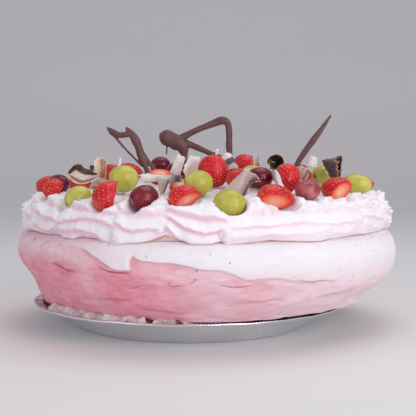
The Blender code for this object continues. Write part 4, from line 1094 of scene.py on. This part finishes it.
# Each kind of chocolate: colours by place from 0 to 1, how far that place follows the sheet
# across and up, how much it wanders, and the colour and strength of its broken edge
chocolateKinds = {
    "cup": ([(0.10, (0.80, 0.70, 0.62)), (0.17, (0.36, 0.17, 0.10)), (0.48, (0.30, 0.13, 0.08)),
             (0.56, (0.84, 0.76, 0.68)), (0.72, (0.86, 0.78, 0.70)), (0.79, (0.06, 0.022, 0.018))],
            0.0, 1.0, 0.22, (0.60, 0.42, 0.32), 0.6),
    "loop": ([(0.2, (0.40, 0.17, 0.08)), (0.42, (0.62, 0.34, 0.20)), (0.55, (0.84, 0.70, 0.58)),
              (0.8, (0.86, 0.77, 0.68))], -0.5, 0.25, 0.8, (0.84, 0.74, 0.64), 1.0),
    "tan": ([(0.3, (0.30, 0.12, 0.075)), (0.7, (0.60, 0.37, 0.27))], 0.0, 0.3, 1.6, (0.72, 0.55, 0.44), 0.6),
    "sheet": ([(0.35, (0.55, 0.45, 0.42)), (0.55, (0.46, 0.36, 0.33)), (0.72, (0.40, 0.29, 0.25)),
               (0.80, (0.11, 0.045, 0.035)), (0.95, (0.20, 0.10, 0.07))],
              0.9, -0.15, 0.25, (0.86, 0.81, 0.78), 1.0),
    "tube": ([(0.25, (0.70, 0.62, 0.58)), (0.36, (0.10, 0.075, 0.09)), (0.62, (0.13, 0.10, 0.12)),
              (0.72, (0.84, 0.79, 0.76))], 0.0, 1.0, 0.3, (0.80, 0.74, 0.70), 0.7),
    "sliver": ([(0.3, (0.42, 0.38, 0.38)), (0.6, (0.80, 0.77, 0.76))],
               0.5, 0.0, 0.7, (0.88, 0.85, 0.84), 0.8),
    "roll": ([(0.2, (0.86, 0.80, 0.76)), (0.58, (0.70, 0.58, 0.50)), (0.76, (0.36, 0.33, 0.37)),
              (0.90, (0.09, 0.055, 0.07))], 0.0, 1.0, 0.3, (0.75, 0.66, 0.58), 0.4),
    "white": ([(0.2, (0.83, 0.74, 0.68)), (0.6, (0.90, 0.85, 0.82)), (0.80, (0.88, 0.82, 0.78)),
               (0.87, (0.42, 0.22, 0.15))], 0.0, 0.0, 1.5, (0.90, 0.85, 0.81), 0.4),
    "dark": ([(0.3, (0.018, 0.010, 0.013)), (0.75, (0.10, 0.062, 0.066))],
             0.0, 0.0, 1.6, (0.50, 0.25, 0.13), 1.0),
}
sheetShape = {
    "thickness": 0.85 * mm, "rows": 26, "shardColumns": 44,
    "pitch": 2.2 * mm,        # how much further out each full turn of a roll lies
    "columnsPerTurn": 78.4, "fewestColumns": 26,
    "jagged": 0.10,           # how far the ends are torn in, as a share of the sheet's half
}


def sheetFaces(rows, columns):
    # Faces of a sheet with two sides: the upper grid, the lower grid, and a strip round the edge.
    r, c = np.meshgrid(np.arange(rows - 1), np.arange(columns - 1), indexing="ij")
    a = r * columns + c
    quads = np.stack([a, a + 1, a + columns + 1, a + columns], -1).reshape(-1, 4)
    below = quads[:, ::-1] + rows * columns
    loop = np.concatenate([np.arange(columns - 1), columns - 1 + columns * np.arange(rows - 1),
                           rows * columns - 1 - np.arange(columns - 1),
                           columns * (rows - 1) - columns * np.arange(rows - 1)])
    after = np.roll(loop, -1)
    strip = np.stack([after, loop, loop + rows * columns, after + rows * columns], -1)
    return np.concatenate([quads, below, strip]).tolist()


def chocolateFinish(kind):
    # Bands of dark and pale that follow the sheet and wander, a broken edge, and a dull bloom.
    stops, acrossShare, upShare, wander, edgeColour, edgeAmount = chocolateKinds[kind]
    finish = Finish(kind + "Chocolate", Subsurface_Weight=0.05, Subsurface_Scale=0.002,
                    Specular_IOR_Level=0.45)
    place = finish.coords()
    flow = finish.noise(place, 130, 3, 0.55, 0.6)
    bloom = finish.noise(place, 320, 4, 0.6)
    value = 0.5 + 0.5 * acrossShare * finish.mark("sheetU") + 0.5 * upShare * finish.mark("sheetV")
    colour = finish.ramp(value + wander * (flow - 0.5), stops)
    colour = finish.blend(finish.between(bloom, 0.5, 0.8) * 0.25, colour, (0.62, 0.50, 0.45))
    colour = finish.blend(finish.mark("edge") * edgeAmount, colour, edgeColour)
    finish.feed("Base Color", colour)
    finish.feed("Roughness", 0.30 + 0.25 * bloom)
    finish.bump(flow * 0.5 + bloom * 0.25, 0.25 * mm, 0.4)
    return finish.material


def thicken(middle, u, v, flat, seed):
    # Both sides of a sheet, thinner and torn at its edges, as one array, and a mark of the edge.
    stepU = np.gradient(middle, axis=1)
    stepV = np.gradient(middle, axis=0)
    normal = np.cross(stepU, stepV)
    normal /= np.maximum(np.linalg.norm(normal, axis=-1, keepdims=True), 1e-12)
    rim = np.minimum(1 - np.abs(u), (1 - np.abs(v)) * 0.8)
    half = sheetShape["thickness"] / 2 * (0.35 + 0.65 * smoothStep(0, 0.16, rim))
    half = half * (1 + 0.25 * ripples(flat, 7 * mm, seed + 5))
    upper = middle + normal * half[..., None]
    lower = middle - normal * half[..., None]
    edge = 1 - smoothStep(0.0, 0.09, np.minimum(1 - np.abs(u), 1 - np.abs(v)))
    return np.concatenate([upper.reshape(-1, 3), lower.reshape(-1, 3)]), edge


def sheetPlaces(columns, seed):
    # Places across (u) and up (v) a sheet from -1 to 1, and the same with ragged ends.
    u = np.linspace(-1, 1, columns)[None, :]
    v = np.linspace(-1, 1, sheetShape["rows"])[:, None]
    u, v = np.broadcast_arrays(u, v)
    flat = np.stack([u * 9, v * 9, np.zeros_like(u)], -1) * mm
    jagU = ripples(flat[..., :1], 6 * mm, seed) * 0.6 + ripples(flat[..., :1], 2.3 * mm, seed + 1) * 0.4
    jagV = ripples(flat[..., 1:2], 5 * mm, seed + 2)
    up = v * (1 - sheetShape["jagged"] * (0.6 + 0.8 * jagU) * np.abs(v) ** 3)
    across = u + 0.07 * jagV * u ** 3
    return u, v, flat, across, up


def rolledSheet(row, seed):
    # A sheet rolled round X: angle and radius grow along u, its width runs along v.
    heading, tilt, length, startRadius, endRadius, turn, start = row
    columns = max(sheetShape["fewestColumns"], int(sheetShape["columnsPerTurn"] * turn / 360))
    u, v, flat, across, up = sheetPlaces(columns, seed)
    turnShare = (across + 1) / 2
    angle = np.radians(start + turn * turnShare)
    radius = (startRadius + (endRadius - startRadius) * (v + 1) / 2) * mm
    radius = radius + sheetShape["pitch"] * math.radians(turn) * turnShare / (2 * math.pi)
    radius = radius * (1 + 0.05 * ripples(flat, 13 * mm, seed + 3))
    radius = radius + 0.22 * mm * ripples(flat, 5 * mm, seed + 4)
    middle = np.stack([up * length * mm / 2, radius * np.cos(angle), radius * np.sin(angle)], -1)
    verts, edge = thicken(middle, u, v, flat, seed)
    return verts @ turnMatrix(heading, tilt).T, u, v, edge


def shardSheet(rows, seed):
    # A sheet through the rows of points: a smooth curve along each row, then up through the rows.
    u, v, flat, across, up = sheetPlaces(sheetShape["shardColumns"], seed)
    curves = [smoothPath(row, (np.clip(across, -1, 1) + 1) / 2) for row in rows]
    k = len(rows) - 1
    padded = [2 * curves[0] - curves[1], *curves, 2 * curves[-1] - curves[-2]]
    place = np.clip((up + 1) / 2, 0, 1) * k
    whole = np.minimum(place.astype(int), k - 1)
    f = (place - whole)[..., None]
    stack = np.array(padded)
    i, j = np.indices(whole.shape)
    middle = splineBetween(*(stack[whole + step, i, j] for step in range(4)), f) * mm
    waves = ripples(flat, 8 * mm, seed + 3) * 0.35 * mm + ripples(flat, 3 * mm, seed + 4) * 0.12 * mm
    middle = middle + waves[..., None] * np.array([0.3, -0.9, 0.3])
    verts, edge = thicken(middle, u, v, flat, seed)
    return verts, u, v, edge


def makeSheets(name, sheets, kind, finishes, *nodes):
    # One piece out of sheets that are each given as (points, u, v, edge).
    slots = {"white": "white_chocolate", "dark": "dark_chocolate"}
    piece = newObject(name, *joinBodies([(sheet[0], sheetFaces(*sheet[1].shape)) for sheet in sheets]), 45)
    for place, label in ((1, "sheetU"), (2, "sheetV"), (3, "edge")):
        addMark(piece, label, np.concatenate([np.tile(sheet[place].reshape(-1), 2) for sheet in sheets]))
    return finishPiece(piece, finishes[kind], slots.get(kind, "marbled_chocolate"), *nodes)


def makeCurls():
    # Rolls and shards on their solids, then the small pieces, one piece for each kind of chocolate.
    finishes = {kind: chocolateFinish(kind) for kind in chocolateKinds}
    seeds = iter(range(107, 1000, 7))
    for node, row in curlDesign.items():
        verts, *places = rolledSheet(row[:7], next(seeds))
        verts = verts + nodeMiddle(node) - boxMiddle(verts)
        makeSheets(pieceName(node, "Sheet"), [(verts, *places)], row[7], finishes, node)
    for node, (kind, rows) in shardDesign.items():
        verts, *places = shardSheet(rows, next(seeds))
        verts = verts + nodeMiddle(node) - boxMiddle(verts)
        makeSheets(pieceName(node, "Sheet"), [(verts, *places)], kind, finishes, node)
    bits = {}
    for row in bitDesign:
        verts, *places = rolledSheet(row[3:10], next(seeds))
        verts = verts + np.array(row[:3]) * mm - boxMiddle(verts)
        bits.setdefault(row[10], []).append((verts, *places))
    for kind, sheets in bits.items():
        makeSheets(kind + "ChocolateBits", sheets, kind, finishes)
    print("chocolate sheets:", len(curlDesign) + len(shardDesign), "small pieces:", len(bitDesign))


# Dried meringue that ran out on the dish's rim at the left, and crumbs.
residueDesign = {
    "start": -68, "end": -3, "columns": 300, "rows": 18, "height": 5.2 * mm,
    # Places where the strip dips and turns near-black: bearing, half width in degrees
    "pools": [(-18, 2.6), (-8.5, 1.8)],
    "crumbs": 60, "crumbSize": (0.35 * mm, 1.0 * mm),
    "crumbPlace": (120.5 * mm, 125.2 * mm),    # distances from the dish's middle
    "rimDrop": 0.7 * mm,                       # how far the flat rim lies below the dish's top
}


def residueFinish():
    # Greyish white crust, near-black and shinier in the pools.
    finish = Finish("residueCrust", Specular_IOR_Level=0.4)
    place = finish.coords()
    cloudy = finish.noise(place, 160, 4, 0.6)
    colour = finish.blend(finish.between(cloudy, 0.35, 0.6), (0.46, 0.36, 0.36), (0.80, 0.70, 0.70))
    pool = finish.between(finish.mark("pool") + 0.7 * (cloudy - 0.5), 0.35, 0.6)
    colour = finish.blend(pool, colour, (0.10, 0.028, 0.018))
    finish.feed("Base Color", colour)
    finish.feed("Roughness", 0.7 - 0.4 * pool)
    finish.bump(cloudy, 0.5 * mm, 0.5)
    return finish.material


def makeResidue():
    # A lumpy strip round part of the rim, sunk at the pools.
    r = residueDesign
    angle = np.linspace(r["start"], r["end"], r["columns"])[None, :]
    across = np.linspace(0, 1, r["rows"])[:, None]
    angle, across = np.broadcast_arrays(angle, across)
    bearing = np.radians(angle)
    taper = bandStep(0, 0.12, 0.88, 1, (angle - r["start"]) / (r["end"] - r["start"]))
    # It starts under the meringue's edge and slopes down to the dish's rim.
    edge = np.maximum(meringueDesign["edgeRadius"], dishDistance(bearing, dishRadii["wall"]) + 2 * mm)
    inner = edge - 3 * mm
    outer = dishDistance(bearing, dishHigh.x - dishX - 2.0 * mm)
    pattern = np.stack([edge * np.sin(bearing), edge * np.cos(bearing), across * 8 * mm], -1)
    outline = pattern[..., :2]
    reach = 0.80 + 0.14 * ripples(outline, 22 * mm, 61) + 0.04 * ripples(outline, 5 * mm, 62)
    radius = inner + (outer - inner) * across * np.clip(reach, 0.3, 1.0) * (0.4 + 0.6 * taper)
    down = smoothStep(edge - 1 * mm, edge + 8 * mm, radius)
    dome = (1 - 0.75 * down) * np.sqrt(np.clip(1 - across ** 6, 0, 1))
    lumps = 0.9 + 0.2 * ripples(pattern, 12 * mm, 63) + 0.05 * ripples(pattern, 3.5 * mm, 64)
    top = dishHigh.z - r["rimDrop"]
    level = top + r["height"] * taper * dome * lumps
    pool = np.zeros_like(level)
    for middle, half in r["pools"]:
        wide = half * (0.75 + 0.35 * ripples(pattern, 5 * mm, 65))
        pool = np.maximum(pool, np.clip(1 - ((angle - middle) / wide) ** 2, 0, 1))
    level = level - pool * r["height"] * 0.25
    upper = turnedTo(bearing, radius, level)
    lower = ringAt(bearing, radius, top - 0.3 * mm)
    verts = np.concatenate([lower.reshape(-1, 3), upper.reshape(-1, 3)])
    crust = newObject("residueStrip", verts, sheetFaces(r["rows"], r["columns"]), 60)
    addMark(crust, "pool", np.tile(pool.reshape(-1), 2))
    finishPiece(crust, residueFinish(), "meringue")
    makeCrumbs()
    print("residue and", r["crumbs"], "crumbs")


def makeCrumbs():
    # Small lumpy bodies here and there on the dish's rim.
    r = residueDesign
    rng = np.random.default_rng(8)
    ball, faces = smallBall((50, 0, -50), 7)
    bodies = []
    for _ in range(r["crumbs"]):
        size = rng.uniform(*r["crumbSize"]) * rng.uniform(0.5, 1)
        turn = rng.uniform(-np.pi, np.pi)
        around = dishDistance(turn, rng.uniform(*r["crumbPlace"]))
        point = turnedTo(turn, around, dishHigh.z - r["rimDrop"] + size * 0.5)
        bodies.append((ball * size * rng.uniform(0.7, 1.2, ball.shape) + point, faces))
    crumbs = newObject("meringueCrumbs", *joinBodies(bodies))
    finish = Finish("crumbCrust", Roughness=0.85)
    tone = finish.noise(finish.coords(), 300, 2)
    finish.feed("Base Color", finish.blend(tone, (0.72, 0.58, 0.56), (0.90, 0.85, 0.86)))
    finish.bump(tone, 0.2 * mm, 0.4)
    finishPiece(crumbs, finish.material, "meringue")


# Piped decorations: strands of (x, height, radius) in mm, and depth against width.
decorationDesign = {
    "fish_decoration": (0.75, [
        [(-36.6, 152.6, 4.4), (-32.6, 150.8, 6.3), (-25, 147.2, 6.3), (-18.5, 142.6, 5.2), (-16.8, 135, 2.8),
         (-16.5, 124, 2.3), (-16, 112.5, 2.2)],
        [(-20.9, 147.8, 4.0), (-15.5, 151.5, 2.9), (-4.8, 156.7, 2.4), (6.4, 161.1, 2.9), (13.7, 163.6, 3.3),
         (18, 161.4, 3.0), (19.3, 154.3, 2.6), (19.3, 143.8, 2.6), (20, 133.4, 2.5), (20.8, 112.5, 2.2)],
        [(-21, 144.6, 4.0), (-12.8, 144.4, 3.0), (-2.4, 140.2, 2.3), (8, 135.6, 2.2), (20, 131.5, 1.8)],
        [(-30.5, 146, 0.9), (-31, 136, 0.6)]]),
    "harp_decoration": (0.8, [
        [(-62.4, 157.3, 0.9), (-59, 153.6, 2.5), (-55.2, 148.2, 3.3), (-52.1, 141.2, 3.0),
         (-50.1, 134.2, 3.1), (-46.8, 126.4, 2.1), (-43.5, 115, 1.8)],
        [(-76.9, 157.2, 0.9), (-72.3, 153.3, 2.6), (-67.2, 151.2, 2.4), (-58.5, 152, 2.2)],
        [(-49.9, 137.6, 2.0), (-45.1, 131.1, 1.7), (-40.6, 124.9, 1.7), (-37.5, 115, 1.6)],
        [(-73, 152.6, 1.2), (-62.9, 140.8, 0.9), (-49, 126.6, 1.0)]]),
    "blade_decoration": (2.3, [
        [(63, 112, 1.6), (68.9, 127.4, 1.9), (75.1, 137.6, 2.3), (82, 147.2, 2.4), (88.1, 155.6, 1.8),
         (95.2, 166, 0.8)]]),
}
strandShape = {"rings": 90, "columns": 20, "voxel": 0.42 * mm, "smoothing": 5}


def strandBody(points, flat, seed):
    # A tube along a smooth curve through the points, with rounded ends, flattened or deepened
    # from front to back.
    s = strandShape
    t = np.linspace(0, 1, s["rings"])
    path = smoothPath(points, t) * mm
    centre = np.stack([path[:, 0], np.zeros(len(t)), path[:, 1]], -1)
    along = np.gradient(centre, axis=0)
    along /= np.linalg.norm(along, axis=1, keepdims=True)
    side = np.stack([-along[:, 2], np.zeros(len(t)), along[:, 0]], -1)
    # The ends close over a length of one radius.
    length = np.concatenate([[0], np.cumsum(np.linalg.norm(np.diff(centre, axis=0), axis=1))])
    reach = np.minimum(length, length[-1] - length) / path[:, 2]
    radius = path[:, 2] * np.sqrt(np.clip(1 - (1 - np.clip(reach, 0.02, 1)) ** 2, 0, 1))
    radius = radius * (1 + 0.05 * ripples(centre, 9 * mm, seed))
    turn = np.linspace(0, 2 * np.pi, s["columns"], endpoint=False)
    across = side[:, None, :] * np.cos(turn)[None, :, None]
    deep = np.array([0, flat, 0])[None, None] * np.sin(turn)[None, :, None]
    ring = centre[:, None, :] + radius[:, None, None] * (across + deep)
    return np.vstack([[centre[0]], ring.reshape(-1, 3), [centre[-1]]]), skinFaces(*ring.shape[:2])


def pipedFinish():
    # Milk chocolate, set with a soft sheen, finely wrinkled, greyer where it has bloomed.
    finish = Finish("pipedChocolate", Specular_IOR_Level=0.45)
    place = finish.coords()
    bloom = finish.noise(place, 60, 4, 0.55)
    fine = finish.noise(finish.coords((1, 1, 0.45)), 420, 4, 0.6)
    colour = finish.blend(finish.between(bloom, 0.3, 0.7), (0.095, 0.036, 0.036), (0.165, 0.072, 0.070))
    colour = finish.blend(finish.between(fine, 0.58, 0.75) * 0.35, colour, (0.23, 0.12, 0.11))
    finish.feed("Base Color", colour)
    finish.feed("Roughness", 0.34 + 0.22 * bloom)
    finish.bump(fine * 0.45 + bloom * 0.3, 0.3 * mm, 0.45)
    return finish.material


def makeDecorations():
    # The strands of one decoration are fused into one body, smoothed where they meet.
    material = pipedFinish()
    for node, (flat, strands) in decorationDesign.items():
        bodies = [strandBody(strand, flat, 56 * number % 97) for number, strand in enumerate(strands)]
        rough = newObject(pieceName(node, "Rough"), *joinBodies(bodies))
        fuse = rough.modifiers.new("fuse", "REMESH")
        fuse.mode = "VOXEL"
        fuse.voxel_size = strandShape["voxel"]
        soften = rough.modifiers.new("soften", "SMOOTH")
        soften.iterations = strandShape["smoothing"]
        bpy.context.view_layer.update()
        graph = bpy.context.evaluated_depsgraph_get()
        mesh = bpy.data.meshes.new_from_object(rough.evaluated_get(graph))
        bpy.data.objects.remove(rough, do_unlink=True)
        verts = np.empty(len(mesh.vertices) * 3)
        mesh.vertices.foreach_get("co", verts)
        verts = verts.reshape(-1, 3)
        # A slight lean and twist, as set by hand.
        verts[:, 1] += 0.5 * mm * ripples(verts[:, ::2], 40 * mm, len(node))
        verts += nodeMiddle(node) - boxMiddle(verts)
        mesh.vertices.foreach_set("co", verts.reshape(-1))
        mesh.name = pieceName(node, "Piped")
        mesh.shade_smooth()
        piece = bpy.data.objects.new(mesh.name, mesh)
        bpy.context.scene.collection.objects.link(piece)
        finishPiece(piece, material, "chocolate", node)
        print(node, len(mesh.polygons), "faces")


# Floor and wall behind as (y, height), lamps as (place, target, size, power in watts), in metres
studio = {
    "floor": [(-2.5, 0), (1.6, 0), (2.0, 0.05), (2.3, 0.2), (2.45, 0.5), (2.5, 1.0), (2.5, 3.0)],
    "halfWidth": 4.0, "paper": (0.80, 0.79, 0.79), "air": (0.95, 0.93, 1.0, 1), "airStrength": 0.50,
    "lamps": {
        "softboxRight": ((0.70, -0.95, 0.60), (0, 0, 0.08), (0.7, 0.7), 4.5),
        "softboxTop": ((0.15, 0.1, 1.15), (0, 0, 0.1), (0.8, 0.8), 3.1),
        "softboxLeft": ((-0.85, -0.85, 0.40), (0, 0, 0.08), (0.6, 0.6), 1.5),
        "softboxLow": ((0.6, -1.1, 0.08), (0, 0, 0.02), (0.7, 0.2), 2.6)},
    "camera": (0.001, -0.732, 0.1334), "cameraDown": 3.2, "lens": 77.6, "sensor": 36,
}


def makeStage():
    # A pale floor that curves up into a pale wall far behind.
    profile, wide = studio["floor"], studio["halfWidth"]
    verts = [(x, y, z) for y, z in profile for x in (-wide, wide)]
    faces = [(2 * k, 2 * k + 1, 2 * k + 3, 2 * k + 2) for k in range(len(profile) - 1)]
    floor = newObject("studioFloor", verts, faces)
    finish = Finish("studioPaper", Roughness=0.9)
    finish.feed("Base Color", studio["paper"])
    floor.data.materials.append(finish.material)


def addLamp(name, position, target, size, power):
    # An area lamp that faces its target and doesn't show itself.
    lamp = bpy.data.lights.new(name, "AREA")
    lamp.shape = "RECTANGLE"
    lamp.size, lamp.size_y = size
    lamp.energy = power
    item = bpy.data.objects.new(name, lamp)
    bpy.context.scene.collection.objects.link(item)
    item.location = position
    item.rotation_euler = (Vector(target) - Vector(position)).to_track_quat("-Z", "Y").to_euler()
    item.visible_camera = False


def makeLights():
    # Pale even light from all round, and four soft lamps.
    world = bpy.data.worlds.new("studioAir")
    world.use_nodes = True
    background = world.node_tree.nodes["Background"]
    background.inputs["Color"].default_value = studio["air"]
    background.inputs["Strength"].default_value = studio["airStrength"]
    bpy.context.scene.world = world
    for name, row in studio["lamps"].items():
        addLamp(name, *row)


def makeCamera():
    # A long lens in front, a little above the cake and tipped down.
    camera = bpy.data.cameras.new("frontCamera")
    camera.sensor_width = studio["sensor"]
    camera.lens = studio["lens"]
    camera.clip_start = 0.01
    item = bpy.data.objects.new("frontCamera", camera)
    bpy.context.scene.collection.objects.link(item)
    item.location = studio["camera"]
    item.rotation_euler = (math.radians(90 - studio["cameraDown"]), 0, 0)
    bpy.context.scene.camera = item


makeDish()
makeMeringue()
makeGrapes()
makeStrawberries()
makeCream()
makeCurls()
makeResidue()
makeDecorations()
makeStage()
makeLights()
makeCamera()
bpy.context.scene.view_settings.view_transform = "Standard"
